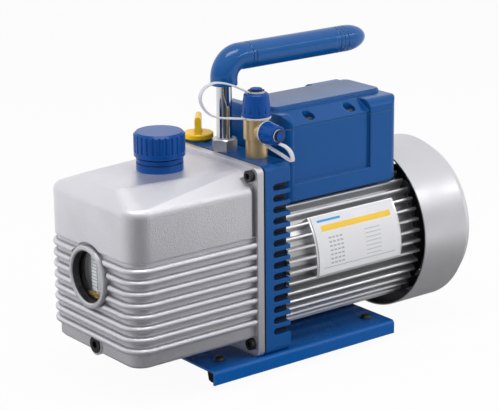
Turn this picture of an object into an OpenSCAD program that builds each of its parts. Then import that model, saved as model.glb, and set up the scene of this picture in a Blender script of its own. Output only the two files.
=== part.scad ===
// Rotary vane vacuum pump: oil tank in front, motor and fan behind, on a folded sheet tray.
// Millimetres, +Z up, +X from the oil tank to the fan, origin on the floor under the middle.

/* [Layout] */
// Height of the shaft axis over the floor
shaft_h = 78; // [78:1:84]

/* [Base tray and feet] */
// Length of the tray
base_l = 182; // [172:1:190]
// Width of the tray over its folded sides
base_w = 126; // [122:1:134]
// Height of the tray's top over the floor
base_h = 17; // [14:0.5:17]
// Sheet thickness of the tray
base_t = 1.6; // [1:0.1:2.5]
// Depth of the folded sides
base_side = 11; // [8:0.5:13]
// Outer radius of the folds
base_bend = 3; // [2.6:0.1:4]
// How far the tray reaches in front of the bracket
base_front = 52; // [44:1:56]
// Radius of a rubber foot at its top
foot_r = 10; // [8:0.5:12]
// Distance of the feet from the middle plane
foot_y = 44; // [36:1:46]
// Distance of the front feet from the tray's front end
foot_front = 19; // [14:1:26]
// Distance of the rear feet from the tray's rear end
foot_rear = 14; // [13:1:24]
// Shank radius of the foot screws
foot_screw_r = 2.5; // [2:0.1:3]

/* [Bracket] */
// Width of the bracket
bracket_w = 121; // [121:1:126]
// Height of the bracket's top over the floor
bracket_top = 167.5; // [166:0.5:172]
// Depth of the bracket along the shaft
bracket_d = 24; // [24:0.5:28]
// Side and top wall of the bracket
bracket_wall = 8; // [7:0.5:9]
// Thickness of the bracket's front wall
bracket_face = 6; // [5:0.5:7]
// Thickness of the bracket's rear wall
bracket_back = 4; // [3.5:0.5:5]
// Corner radius of the bracket and of the tank's rim
bracket_r = 5; // [3:0.5:6]
// Number of cooling slots on each side
slot_n = 14; // [10:1:14]
// Distance between slots
slot_pitch = 8.9; // [8:0.1:9.1]
// Height of a slot
slot_h = 5.6; // [4:0.1:6.5]
// Depth of a slot
slot_cut = 5; // [3:0.5:5.5]
// Where the slots start behind the bracket's front face
slot_from = 7.5; // [6:0.5:9]
// Shank radius of the bolts that hold the bracket to the tray
bracket_bolt_r = 3; // [2.5:0.1:3.5]
// Distance of those bolts from the middle plane
bracket_bolt_y = 38; // [30:1:44]

/* [Flange plate] */
// Thickness of the plate that carries the pump inside the tank
flange_t = 7.5; // [7:0.5:10]

/* [Oil tank] */
// Depth of the tank from its fins to its rim
tank_d = 114; // [110:1:120]
// Width of the tank over its fins
tank_w = 120; // [116:1:121]
// Height of the tank's flat top over the floor
tank_top = 163.5; // [162:0.5:165]
// Drop from the flat top to the eaves
eave_drop = 13; // [11:0.5:14]
// Radius of the rounded eaves
eave_round = 6; // [3:0.5:7]
// How far the flat top lies behind the tank's front
top_back = 15; // [12:0.5:20]
// Half width of the flat top at its front end
top_front_w = 27; // [22:0.5:30]
// Half width of the flat top at the rim
top_rear_w = 38.5; // [34:0.5:41]
// Corner radius of the flat top
top_corner = 6; // [4:0.5:8]
// Height of the tank's underside over the floor
tank_bottom = 31.5; // [29:0.5:31.5]
// Corner radius of the tank over its fins
tank_corner = 18; // [15:1:22]
// Wall of the tank behind the fins
tank_wall = 6.8; // [5.5:0.1:7.5]
// Thickness of the tank's roof and floor
tank_roof = 6; // [4:0.5:7]
// Number of cooling fins
fin_n = 8; // [6:1:8]
// Distance between fins
fin_pitch = 8.8; // [8:0.1:8.8]
// Thickness of a fin
fin_t = 5; // [3.5:0.1:5.5]
// How far a fin stands out
fin_depth = 4; // [3:0.1:5]
// Height of the lowest fin's middle over the tank's underside
fin_first = 14; // [12:0.5:15]
// How far the smooth upper part stands out from the fins' roots
upper_proud = 2.2; // [1:0.1:3]
// Clear strip between the top fin and the upper part
upper_gap = 3.4; // [2:0.1:5]
// Thickness of the rim that seats the tank on the bracket
rim_t = 6; // [5:0.5:7]
// Width of the channel between the upper part and the rim
channel_w = 3.5; // [2:0.5:5]
// Thickness of the gasket behind the rim
gasket_t = 1.5; // [1:0.1:2]
// Shank radius of the four corner screws
corner_screw_r = 2.5; // [2:0.1:3]
// Distance of the corner screws from the rim's edges
corner_inset = 7; // [6.5:0.5:8]

/* [Sight glass] */
// Height of the sight glass over the tank's underside
sight_up = 60; // [52:1:64]
// Outer radius of the bezel ring
bezel_r = 24; // [21:0.5:25]
// Width of the bezel ring
bezel_ring = 4.4; // [3.5:0.1:5]
// How far the bezel stands out from the fins
bezel_proud = 1.5; // [1:0.1:3]
// Length of the bezel ring
bezel_l = 6.5; // [5.5:0.1:7]
// Thickness of the glass
glass_t = 4; // [3:0.1:4.5]
// Thickness of the seal behind the glass
sight_seal_t = 1.5; // [1:0.1:2]
// Wall of the boss round the bezel's sleeve
boss_wall = 2; // [1.5:0.1:2.5]
// Width of the groove round the boss
sight_gap = 2; // [1:0.1:3]
// Width of the ledge that carries the seal
ledge_w = 3; // [2:0.1:4]
// Thickness of that ledge
ledge_t = 3; // [2:0.1:4]
// Distance of the level card's free edge from the middle
card_edge = 11; // [8:0.5:13]
// Width of the raised level strip along that edge
strip_w = 7; // [5:0.5:9]

/* [Drain] */
// Height of the drain over the tank's underside
drain_up = 6.5; // [6:0.5:9]
// Sideways place of the drain
drain_y = -3; // [-10:1:6]
// Radius of the drain boss
drain_boss_r = 8.2; // [7.8:0.1:9]
// Thread radius of the drain plug
drain_r = 4.55; // [4:0.05:4.6]
// Length of the plug's thread
drain_l = 8.7; // [7:0.1:9]

/* [Oil filler] */
// How far the filler lies in front of the tank's rear face
filler_x = 46; // [36:0.5:60]
// Sideways place of the filler
filler_y = 0; // [-6:1:6]
// Radius of the collar
collar_r = 18; // [16:0.5:19]
// Height of the collar
collar_h = 9.5; // [7:0.5:12]
// Thread radius of the oil cap
cap_thread_r = 10.9; // [9:0.1:12]
// Length of the oil cap's thread
cap_thread_l = 9; // [7:0.5:10]
// Outer radius of the oil cap
oil_cap_r = 19.6; // [18:0.1:21]
// Height of the oil cap
oil_cap_h = 18.8; // [15:0.1:22]
// Number of grooves round the oil cap
knurl_n = 26; // [20:1:30]
// Thickness of the oil cap's seal
cap_seal_t = 1; // [0.8:0.1:1.5]

/* [Pump module] */
// Radius of the pumping bore
bore_r = 24; // [23:0.5:25]
// Offset of the bore's centre below the shaft axis
bore_off = 3; // [2.5:0.1:3.2]
// Length of the pumping bore
bore_l = 50; // [44:1:56]
// Outer radius of the pump's stator ring
stator_r = 36; // [35.5:0.1:36]
// Thickness of the two end plates
end_plate_t = 10; // [8:0.5:12]
// Journal radius of the pump's rotor
journal_r = 8; // [7.5:0.1:9]
// Thickness of a vane
vane_t = 4; // [3:0.1:4.5]
// Shank radius of the pump's long bolts
pump_bolt_r = 2.5; // [2:0.1:2.6]
// Height of the valve seat over the bore's centre
valve_up = 31; // [29.5:0.5:33]
// Radius of a discharge port
port_r = 3; // [2:0.1:3.5]
// Radius of the suction passage
suction_r = 3.5; // [3:0.1:3.8]

/* [Coupling] */
// Outer radius of the coupling
coupling_r = 17; // [14:0.5:18]
// Thickness of a coupling hub
hub_t = 5; // [4:0.1:5.2]

/* [Motor] */
// Length of the motor housing
motor_l = 136; // [128:1:142]
// Radius of the housing over its fins
motor_r = 60.3; // [57:0.1:60.3]
// Radius of the housing at the fins' roots
motor_root_r = 52; // [51:0.1:53]
// Inner radius of the housing
motor_bore_r = 47; // [46:0.1:47.5]
// Number of fins round the housing
motor_fin_n = 42; // [36:1:48]
// Thickness of a fin at its tip
motor_fin_t = 2.6; // [1.8:0.1:3]
// Shaft radius of the motor
motor_shaft_r = 7.5; // [6:0.1:8]
// Outer radius of the ball bearings
bearing_r = 17.5; // [15:0.5:20]
// Width of the ball bearings
bearing_w = 11; // [9:0.5:12]
// Thickness of the end shields
shield_t = 10; // [9:0.5:12]
// Length of the laminated core
core_l = 65; // [56:1:70]
// Radius of the rotor core
rotor_core_r = 27.6; // [25:0.1:29]
// Length of the end turns
turns_l = 13; // [10:0.5:14]

/* [Rating plate] */
// Length of the rating plate
plate_l = 84; // [70:1:90]
// Height of the rating plate round the housing, in degrees
plate_deg = 44; // [36:1:52]
// Distance of the plate behind the bracket
plate_x = 29; // [22:1:32]
// Lower edge of the plate below the shaft's level, in degrees
plate_low = 7; // [0:1:10]
// Thickness of the plate
plate_t = 0.6; // [0.4:0.1:1]

/* [Fan and cover] */
// Outer radius of the fan cover
cover_r = 69; // [67:0.5:72]
// Length of the fan cover
cover_l = 54.4; // [52:0.1:60]
// How far the cover reaches forward from the rear end shield's back
cover_lap = 12.4; // [11:0.1:14]
// Sheet thickness of the cover
cover_t = 1.6; // [1:0.1:2]
// Length of the chamfer at the cover's rear rim
chamfer_l = 9; // [6:0.5:11]
// Width of that chamfer
chamfer_w = 6; // [4:0.5:6.5]
// Clearance between the fan's tips and the stand-offs
fan_gap = 2.5; // [1.5:0.1:8]
// Width of the fan blades
fan_w = 22; // [18:0.5:26]
// Number of fan blades
blade_n = 9; // [7:1:11]
// Head height of the cover screws
cover_head = 2; // [1.5:0.1:3]

/* [Terminal box] */
// Length of the box
box_l = 115.5; // [110:0.5:120]
// Width of the box
box_w = 84; // [80:1:88]
// Distance of the box behind the bracket
box_x = 11; // [9:0.5:13]
// Height of the box's floor over the motor's axis
box_floor_up = 63.5; // [62.5:0.5:66]
// Depth of the skirt below the floor
skirt_h = 12.9; // [8:0.1:14]
// Height of the box walls over the floor's underside
box_h = 45; // [42:0.5:52]
// Wall of the box
box_wall = 2.2; // [2:0.1:3]
// Corner radius of the box
box_r = 8; // [5:0.5:10]
// Depth of the sunk side panels
panel_cut = 2.4; // [1:0.1:2.6]
// Length of the sunk side panels
panel_l = 78; // [60:1:80]
// Height of the chamfered cover
hood_h = 10; // [8:0.5:12]
// Half width of the cover's flat top
hood_top = 25; // [22:0.5:27]
// Half width of the raised lid
lid_w = 22; // [18:0.5:24]
// Height of the raised lid
lid_h = 3; // [2:0.1:4]
// Radius of the screw recesses in the cover
recess_r = 5; // [4.2:0.1:5.4]
// Distance of the front recess behind the box's front face
recess_x = 30; // [20:1:34]
// Distance between the recesses on one side
recess_step = 41.5; // [34:0.5:46]
// Radius of the capacitor
capacitor_r = 16; // [12:0.5:17]
// Length of the capacitor
capacitor_l = 62; // [50:1:66]
// Height of the rear fittings over the floor's underside
rear_fit_up = 24.5; // [22:0.5:28]
// Height of the rocker
rocker_h = 16.4; // [14:0.1:17]
// Width of the rocker
rocker_w = 11; // [9:0.5:12]
// Tilt of the rocker to each side, in degrees
rocker_tilt = 9; // [5:1:10]

/* [Handle] */
// Distance of the post behind the bracket's front face
post_x = 8; // [8:0.5:12]
// Radius of the post
post_r = 6.1; // [5:0.1:6.5]
// Radius of the grip
grip_r = 10.6; // [9.5:0.1:12]
// Height of the grip's top over the bracket
grip_up = 82.5; // [76:0.5:90]
// Bend radius of the grip's elbow
grip_bend = 15; // [13:0.5:18]
// Length of the stub below the elbow
stub_l = 5; // [3:0.5:10]
// Reach of the grip behind the post
grip_l = 141; // [120:1:146]
// Length of the grip's rounded tip
tip_l = 20; // [14:1:26]
// Radius of the hex nut over its corners
nut_r = 10.6; // [9.5:0.1:11.5]
// Height of the hex nut
nut_h = 10; // [7:0.5:12]

/* [Inlet] */
// Distance of the inlet behind the bracket's front face
inlet_x = 15; // [13:0.5:16]
// Sideways place of the inlet
inlet_y = -31; // [-34:0.5:-29]
// Height of the inlet's slim foot
inlet_foot_h = 15.5; // [12:0.5:18]
// Radius of the inlet's slim foot
inlet_foot_r = 8.5; // [7.5:0.1:9]
// Radius of the inlet's body
inlet_r = 10; // [9:0.1:10.5]
// Height of the inlet's body
inlet_h = 14.5; // [14:0.5:18]
// Reach of the side branch from the inlet's axis
branch_l = 11.5; // [11.5:0.5:12]
// Thread radius of the two ports
port_thread_r = 7; // [6:0.1:7.5]
// Length of the ports' threads
port_l = 11.5; // [10:0.1:12]
// Size of the side port, its cap and its rings against the top port's
side_size = 0.77; // [0.7:0.01:0.9]
// Bore radius of the inlet
inlet_bore_r = 4; // [3:0.1:4.5]
// Radius of an inlet cap at its mouth
cap_r = 11.3; // [10:0.1:12]
// Radius of an inlet cap at its end
cap_end_r = 9.6; // [8.5:0.1:10]
// Height of an inlet cap
cap_h = 17.5; // [15:0.5:19]
// Radius of the button on an inlet cap
button_r = 4.5; // [3.5:0.1:5]
// Height of that button
button_h = 3.6; // [3:0.1:4]
// Outer radius of a tether's neck ring
neck_ring_r = 11.4; // [10.5:0.1:11.4]
// Thickness of a tether's rings
tether_ring_t = 1.8; // [1.2:0.1:2]
// Width of a tether strap
tether_w = 3.6; // [2.5:0.1:4.5]
// Thickness of a tether strap
tether_t = 1.4; // [1:0.1:1.8]

/* [Ballast valve] */
// Distance of the valve behind the bracket's front face
ballast_x = 12; // [11:0.5:13]
// Sideways place of the valve
ballast_y = 40; // [36:0.5:42]
// Radius of the knob
knob_r = 12; // [10:0.5:13]
// Thickness of the knob's disc
knob_t = 4.6; // [3.5:0.1:6]
// Height of the finger tab over the disc
tab_h = 14; // [10:0.5:16]
// Thickness of the finger tab
tab_t = 5; // [3.5:0.1:6]
// Turn of the finger tab from the shaft's direction, in degrees
tab_turn = 52; // [0:1:180]

/* [Hidden] */

$fn = 64;
// Running clearance on a radius, and room left round fixed pieces
run = 0.05;
room = 0.1;
over = 1;

// Overall reach before and behind the bracket's front face, which set the origin
front_reach = rim_t + gasket_t + tank_d + bezel_proud;
shield_rear = bracket_d + motor_l + shield_t;
cover_x = shield_rear - cover_lap;
cover_rear = cover_x + cover_l;
rear_reach = cover_rear + cover_head;
joint_x = (front_reach - rear_reach) / 2;

// Tank
tank_rear = -rim_t - gasket_t;
tank_front = tank_rear - tank_d;
core_front = tank_front + fin_depth;
core_w = tank_w / 2 - fin_depth;
core_corner = tank_corner - fin_depth;
inner_w = core_w - tank_wall;
eave_z = tank_top - eave_drop;
wall_top = eave_z - 0.45 * eave_round;
upper_z = tank_bottom + fin_first + (fin_n - 1) * fin_pitch + fin_t / 2 + upper_gap;
sight_z = tank_bottom + sight_up;
drain_z = tank_bottom + drain_up;
corner_y = bracket_w / 2 - corner_inset;
corner_zs = [base_h + corner_inset + 3, bracket_top - corner_inset + 0.5];
corner_head_r = 1.8 * corner_screw_r;
corner_head_h = 1.6 * corner_screw_r;
corner_boss_r = corner_head_r + 1.5;
corner_pocket_r = corner_head_r + 2.5;
corner_pocket_l = corner_head_h + 2;

// Opening of the rim, and the plate that stands in it
lip = 0.6;
open_w = inner_w - lip;
open_z = [tank_bottom + tank_roof + lip, wall_top - 4];
plate_gap = 1;

// Sight glass, from the front to the back
bezel_front = tank_front - bezel_proud;
glass_front = bezel_front + bezel_l;
seal_front = glass_front + glass_t;
ledge_front = seal_front + sight_seal_t;
ledge_rear = ledge_front + ledge_t;
sleeve_r = bezel_r - boss_wall;

// Drain, from the front to the back
drain_front = tank_front + 3;
drain_floor = drain_front + 4.5;
drain_seal_t = 1.2;
drain_head_r = drain_r + 1.85;
drain_head_t = 4.1;

// Oil filler
filler = [tank_rear - filler_x, filler_y];
collar_top = tank_top + collar_h;
oil_cap_z = collar_top + cap_seal_t;

// Pump module, from the flange plate forward
rear_plate_x = -flange_t - end_plate_t;
bore_x = rear_plate_x - bore_l;
front_plate_x = bore_x - end_plate_t;
bore_z = shaft_h - bore_off;
rotor_r = bore_r - bore_off - run;
vane_reach = sqrt(bore_r * bore_r - bore_off * bore_off) - 0.12;
slot_w = vane_t + 2 * run;
spacer_r = vane_t / 2 - run;
pump_bolt_at = (bore_r + stator_r) / 2;
suction_z = bore_z + 5;
seal_recess_r = journal_r + 5;
seal_recess_t = flange_t - 1.5;
valve_z = bore_z + valve_up;
port_y = bore_r / 3;
pump_hub_x = 1;
jaw_gap = 0.5;
pump_jaw_x = pump_hub_x + hub_t;
motor_hub_x = bracket_d - bracket_back - 1.5 - hub_t;

// Motor, from the bracket backward
housing_rear = bracket_d + motor_l;
plate_r = motor_r + 0.15;
register_r = motor_bore_r - 3;
front_bearing_x = bracket_d - 1;
rear_bearing_x = shield_rear - 4 - bearing_w;
core_x = bracket_d + (motor_l - core_l) / 2 - 0.5;
turns_r = [rotor_core_r + 3, motor_bore_r - 2];
motor_screw_r = 2;
motor_screw_l = 10;
motor_screw_head_r = 1.75 * motor_screw_r;
shaft_gap = 0.7;
spigot_l = 8;
stud_r = 2;
stud_l = 10;
motor_screw_at = (motor_bore_r + motor_root_r) / 2;
front_screw_y = bracket_w / 2 - bracket_wall - 2.2 * motor_screw_head_r;
front_screw_turn = acos(front_screw_y / motor_screw_at);
front_screw_angles = [for (a = [0, 180]) each [a + front_screw_turn, a + 180 - front_screw_turn]];
rear_screw_angles = [0, 90, 180, 270];
fan_x = shield_rear + 6;
fan_disc_t = 2;
shaft_end = fan_x + fan_w + 2;
standoff_r = 3.5;
standoff_at = cover_r - chamfer_w - 2.5 - standoff_r;
lug_angles = [45, 135, 225, 315];
fan_r = standoff_at - standoff_r - fan_gap;

// Terminal box, from the motor upward
box_front = bracket_d + box_x;
box_rear = box_front + box_l;
box_floor = shaft_h + box_floor_up;
box_top = box_floor + box_h;
hood_z = box_top + room;
hood_top_z = hood_z + hood_h;
lid_z = hood_top_z + lid_h;
hood_edge = 1.5;
shell_t = box_wall + panel_cut;
panel_rear = box_front + box_r + panel_l;
band_r = 8.5;
band_proud = 0.3;
floor_t = 2.5;
recess_xs = [box_front + recess_x, box_front + recess_x + recess_step];
recess_y = (box_w / 2 - panel_cut + hood_top) / 2;
recess_z = hood_z + 2.4;
pad_w = box_w - 2 * shell_t - 6;
pad_inset = 6;
small_screw_r = 1.5;
pad_screw_l = 6;
pad_screw_x = box_front + 16;
pad_screw_ys = [-0.4 * pad_w, 0.4 * pad_w];
lead_hole_r = 8;
rear_fit_z = box_floor + rear_fit_up;
switch_y = 19;
socket_y = -15;
fit_flange_t = 2;
pivot_r = 1.5;
rocker_pivot = [box_rear - pivot_r, switch_y, rear_fit_z];

// Handle
grip_z = bracket_top + grip_up - grip_r;
grip_base = grip_z - grip_bend - stub_l;
post_top = grip_z - 4;
spigot_r = 5;
stem_r = 3;
stem_h = 8;

// Inlet
branch_z = bracket_top + inlet_foot_h + 0.4 * inlet_h;
neck_z = bracket_top + inlet_foot_h + inlet_h;
neck_y = inlet_y - branch_l;
ring_gap = 0.2;
cap_from = tether_ring_t + 2 * ring_gap;

// Routes of the tether straps, from the neck ring to the button ring
top_route = [[0.5, 0, 0], [-11, 0, 2], [-25.5, 0, 5], [-34.5, 0, 9.5], [-40.5, 0, 16.5], [-42, 0, 23],
  [-39, 0, 28.5], [-32, 0, 31.5], [-25, 0, 31.5], [-13, 0, 28], [3.2, 0, 19.9]];
side_route = [[0, 0, 0], [0, -0.2, -2.2], [0.8, -4, -3.8], [3.2, -14, -7.4], [5, -23.5, -10.6],
  [5.5, -24.4, -8], [4, -23.4, -3], [2, -20, 0.4], [0, -15.8, 2]];

function lerp(a, b, t) = a + (b - a) * t;
function unit(v) = v / norm(v);
// Points of a smooth curve through the route, four to a stretch
function spline_at(p, i, t) =
  let (n = len(p) - 1,
       a = p[max(i - 1, 0)], b = p[i], c = p[min(i + 1, n)], d = p[min(i + 2, n)])
  0.5 * (2 * b + (c - a) * t + (2 * a - 5 * b + 4 * c - d) * t * t + (3 * b - a - 3 * c + d) * t * t * t);
function smooth_route(p, steps = 4) =
  [for (i = [0 : len(p) - 2], s = [0 : steps - 1]) spline_at(p, i, s / steps), p[len(p) - 1]];

// Y-Z outline of a plate from z0 to z1 with round corners
module plate_outline(w, z0, z1, r) {
  translate([-w / 2 + r, z0]) square([w - 2 * r, z1 - z0]);
  translate([-w / 2, z0 + r]) square([w, z1 - z0 - 2 * r]);
  for (y = [-1, 1], z = [z0 + r, z1 - r]) translate([y * (w / 2 - r), z]) circle(r);
}

// Plan outline with round corners, from x0 to x1, centred on Y
module plan_outline(x0, x1, w, r) {
  translate([x0 + r, -w / 2]) square([x1 - x0 - 2 * r, w]);
  translate([x0, -w / 2 + r]) square([x1 - x0, w - 2 * r]);
  for (x = [x0 + r, x1 - r], y = [-1, 1]) translate([x, y * (w / 2 - r)]) circle(r);
}

module place() { translate([joint_x, 0, 0]) children(); }

// A Y-Z drawing stood up at x, so that its extrusion runs along +X
module stand(x) { translate([x, 0, 0]) rotate([90, 0, 90]) children(); }

module rod_x(x0, x1, r, y = 0, z = 0) {
  translate([x0, y, z]) rotate([0, 90, 0]) cylinder(h = x1 - x0, r = r);
}

module rod_y(y0, y1, r, x, z) {
  translate([x, y0, z]) rotate([-90, 0, 0]) cylinder(h = y1 - y0, r = r);
}

module rod_z(z0, z1, r, x = 0, y = 0) { translate([x, y, z0]) cylinder(h = z1 - z0, r = r); }

module hex_x(x0, x1, r, y, z) {
  translate([x0, y, z]) rotate([0, 90, 0]) cylinder(h = x1 - x0, r = r, $fn = 6);
}

module ring_x(x0, x1, r0, r1, y = 0, z = 0) {
  difference() {
    rod_x(x0, x1, r1, y, z);
    rod_x(x0 - over, x1 + over, r0, y, z);
  }
}

module ring_z(z0, z1, r0, r1, x = 0, y = 0) {
  difference() {
    rod_z(z0, z1, r1, x, y);
    rod_z(z0 - over, z1 + over, r0, x, y);
  }
}

// Part of a ring round the shaft axis, its angle counted from +Y to +Z
module sector(x0, x1, r0, r1, start, sweep) {
  stand(x0) translate([0, shaft_h, 0]) rotate([0, 0, start])
    rotate_extrude(angle = sweep) translate([r0, 0]) square([r1 - r0, x1 - x0]);
}

// Children set on a circle round the shaft axis, at the given angles
module on_circle(r, angles) {
  for (a = angles) translate([0, r * cos(a), shaft_h + r * sin(a)]) children();
}

module corners() { for (y = [-corner_y, corner_y], z = corner_zs) translate([0, y, z]) children(); }

module socket_screw(head_r, head_h, r, l) {
  difference() {
    union() {
      rod_x(-head_h, 0, head_r);
      rod_x(0, l, r);
    }
    hex_x(-head_h - over, -head_h / 2, 0.6 * head_r, 0, 0);
  }
}

module pan_screw(head_r, head_h, r, l) {
  rotate_extrude()
    polygon(concat([[0, -l], [r, -l], [r, 0], [head_r, 0]],
      [for (a = [0 : 15 : 90]) [head_r - head_h + head_h * cos(a), head_h * sin(a)]], [[0, head_h]]));
}

// Flat strap swept along a route, its width along the given direction
module strap(route, wide) {
  p = smooth_route(route);
  n = len(p);
  half = [tether_w, tether_t] / 2;
  cut = 0.35 * tether_t;
  section = [[half.x, half.y - cut], [half.x - cut, half.y], [cut - half.x, half.y], [-half.x, half.y - cut],
    [-half.x, cut - half.y], [cut - half.x, -half.y], [half.x - cut, -half.y], [half.x, cut - half.y]];
  m = len(section);
  points = [for (i = [0 : n - 1])
    let (along = unit(p[min(i + 1, n - 1)] - p[max(i - 1, 0)]),
         flat = unit(cross(cross(along, wide), along)),
         thick = cross(along, flat))
    for (s = section) p[i] + s.x * flat + s.y * thick];
  sides = [for (i = [0 : n - 2], j = [0 : m - 1])
    let (a = i * m + j, b = i * m + (j + 1) % m)
    each [[a, a + m, b], [b, a + m, b + m]]];
  ends = [for (j = [1 : m - 2]) each [[0, j, j + 1], [(n - 1) * m, (n - 1) * m + j + 1, (n - 1) * m + j]]];
  polyhedron(points = points, faces = concat(sides, ends), convexity = 4);
}

module channel_outline(w, h, r) {
  translate([-w / 2, 0]) square([w, h - r]);
  translate([-w / 2 + r, 0]) square([w - 2 * r, h]);
  for (y = [-1, 1]) translate([y * (w / 2 - r), h - r]) circle(r);
}

foot_xs = [-base_front + foot_front, base_l - base_front - foot_rear];

module base_plate() {
  color([0.11, 0.32, 0.6]) place() difference() {
    stand(-base_front) translate([0, base_h - base_side]) linear_extrude(base_l)
      difference() {
        channel_outline(base_w, base_side, base_bend);
        translate([0, -over])
          channel_outline(base_w - 2 * base_t, base_side - base_t + over, base_bend - base_t);
      }
    for (x = foot_xs, y = [-foot_y, foot_y]) rod_z(0, base_h + over, foot_screw_r + room, x, y);
    for (y = [-bracket_bolt_y, bracket_bolt_y])
      rod_z(0, base_h + over, bracket_bolt_r + room, bracket_d / 2, y);
  }
}

module rubber_feet() {
  h = base_h - base_t;
  lip = 2;
  sink = 5;
  tread_r = 0.85 * foot_r;
  sink_r = 0.4 * foot_r;
  hole_r = foot_screw_r + room;
  color([0.06, 0.06, 0.06]) place() for (x = foot_xs, y = [-foot_y, foot_y]) translate([x, y, 0])
    rotate_extrude() polygon(concat(
      [[hole_r, h], [hole_r, sink], [sink_r, sink], [sink_r, 0]],
      [for (a = [-90 : 30 : 0]) [tread_r - lip + lip * cos(a), lip + lip * sin(a)]],
      [[foot_r, h - lip], [foot_r, h]]));
}

module foot_screws() {
  color([0.08, 0.08, 0.08]) place() for (x = foot_xs, y = [-foot_y, foot_y]) translate([x, y, base_h])
    pan_screw(1.8 * foot_screw_r, 1.3 * foot_screw_r, foot_screw_r, base_h - 6);
}

module bracket_slots() {
  z0 = (base_h + bracket_top) / 2 - (slot_n - 1) * slot_pitch / 2;
  for (side = [0, 1], k = [0 : slot_n - 1]) mirror([0, side, 0])
    translate([slot_from + slot_h / 2, bracket_w / 2 - slot_cut, z0 + k * slot_pitch]) {
      rotate([-90, 0, 0]) cylinder(h = slot_cut + over, r = slot_h / 2);
      translate([0, 0, -slot_h / 2]) cube([bracket_d, slot_cut + over, slot_h]);
    }
}

module bracket() {
  clear_w = bracket_w - 2 * bracket_wall;
  floor_z = base_h + bracket_wall + 2;
  column_x = bracket_face - over;
  column_y = 2 * inlet_foot_r - over;
  color([0.11, 0.32, 0.6]) place() difference() {
    union() {
      difference() {
        stand(0) linear_extrude(bracket_d) plate_outline(bracket_w, base_h, bracket_top, bracket_r);
        translate([bracket_face, -clear_w / 2, floor_z])
          cube([bracket_d - bracket_back - bracket_face, clear_w, bracket_top - bracket_wall - floor_z]);
        rod_x(bracket_d - bracket_back - over, bracket_d + over, register_r, 0, shaft_h);
        bracket_slots();
      }
      corners() rod_x(0, bracket_d - bracket_back, corner_boss_r);
      translate([column_x, inlet_y - column_y / 2, suction_z - 2 * suction_r])
        cube([bracket_d - bracket_back - column_x, column_y, bracket_top - over - suction_z + 2 * suction_r]);
    }
    rod_x(-over, bracket_face + over / 2, coupling_r + 3, 0, shaft_h);
    corners() rod_x(-over, bracket_d - bracket_back - 3, corner_screw_r + room);
    pump_bolt_holes(-over, bracket_face + over, pump_bolt_r + room);
    on_circle(motor_screw_at, front_screw_angles)
      rod_x(bracket_face + over, bracket_d + over, motor_screw_r + room);
    for (y = [-bracket_bolt_y, bracket_bolt_y])
      rod_z(base_h - over, floor_z + over, bracket_bolt_r + room, bracket_d / 2, y);
    rod_z(bracket_top - bracket_wall - over, bracket_top + over, spigot_r + room, post_x, 0);
    rod_z(bracket_top - bracket_wall - over, bracket_top + over, spigot_r + room, ballast_x, ballast_y);
    rod_z(bracket_top - bracket_wall, bracket_top + over, port_thread_r - over + room, inlet_x, inlet_y);
    rod_z(suction_z, bracket_top, inlet_bore_r - 0.2, inlet_x, inlet_y);
    rod_x(-over, inlet_x, suction_r, inlet_y, suction_z);
  }
}

module bracket_bolts() {
  head_h = 1.3 * bracket_bolt_r;
  color([0.25, 0.25, 0.27]) place() for (y = [-bracket_bolt_y, bracket_bolt_y])
    translate([bracket_d / 2, y, base_h - base_t]) {
      rod_z(0, base_t + bracket_wall, bracket_bolt_r);
      translate([0, 0, -head_h]) cylinder(h = head_h, r = 1.9 * bracket_bolt_r, $fn = 6);
    }
}

module pump_bolt_holes(x0, x1, r) {
  for (a = [45 : 90 : 315])
    rod_x(x0, x1, r, pump_bolt_at * cos(a), bore_z + pump_bolt_at * sin(a));
}

// Y-Z opening of the rim, drawn in by an inset
module rim_opening(inset) {
  translate([-open_w + inset, open_z[0] + inset])
    square([2 * (open_w - inset), open_z[1] - open_z[0] - 2 * inset]);
}

module corner_holes(r) { for (y = [-corner_y, corner_y], z = corner_zs) translate([y, z]) circle(r); }

module flange_plate() {
  color([0.73, 0.72, 0.74]) place() difference() {
    stand(-flange_t) linear_extrude(flange_t) rim_opening(plate_gap);
    rod_x(-flange_t - over, over, journal_r + 2 * run, 0, shaft_h);
    rod_x(-seal_recess_t, over, seal_recess_r, 0, shaft_h);
    rod_x(-flange_t - over, over, suction_r, inlet_y, suction_z);
    pump_bolt_holes(-flange_t - over, over, pump_bolt_r + room);
  }
}

module tank_gasket() {
  trim = 0.4;
  color([0.07, 0.07, 0.08]) place() stand(-gasket_t) linear_extrude(gasket_t) difference() {
    plate_outline(bracket_w - 2 * trim, base_h + trim, bracket_top - trim, bracket_r);
    rim_opening(-trim);
    corner_holes(corner_screw_r + 2 * room);
  }
}

// Section of the tank's wall: skirt, round-nosed fins and smooth upper part up to the eaves
function fin_nose(z) =
  [for (a = [-90 : 30 : 90]) [fin_depth - fin_t / 2 + fin_t / 2 * cos(a), z + fin_t / 2 * sin(a)]];
function fin_z(k) = tank_bottom + fin_first + k * fin_pitch;
tank_section = concat(
  [[-tank_wall, tank_bottom], [-2, tank_bottom], [0, tank_bottom + 2]],
  [for (k = [0 : fin_n - 1])
    each concat([[0, fin_z(k) - fin_t / 2]], fin_nose(fin_z(k)), [[0, fin_z(k) + fin_t / 2]])],
  [[0, upper_z], [upper_proud - 0.8, upper_z], [upper_proud, upper_z + 0.8], [upper_proud, wall_top],
   [-tank_wall, wall_top]]);

module tank_walls() {
  mid_w = core_w - core_corner;
  for (side = [0, 1]) mirror([0, side, 0]) {
    translate([0, core_w, 0]) stand(core_front + core_corner)
      linear_extrude(tank_rear + over - core_front - core_corner) polygon(tank_section);
    translate([core_front + core_corner, mid_w, 0]) rotate([0, 0, 90])
      rotate_extrude(angle = 90) translate([core_corner, 0]) polygon(tank_section);
  }
  translate([core_front, mid_w, 0]) rotate([90, 0, 0])
    linear_extrude(2 * mid_w) mirror([1, 0]) polygon(tank_section);
}

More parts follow.
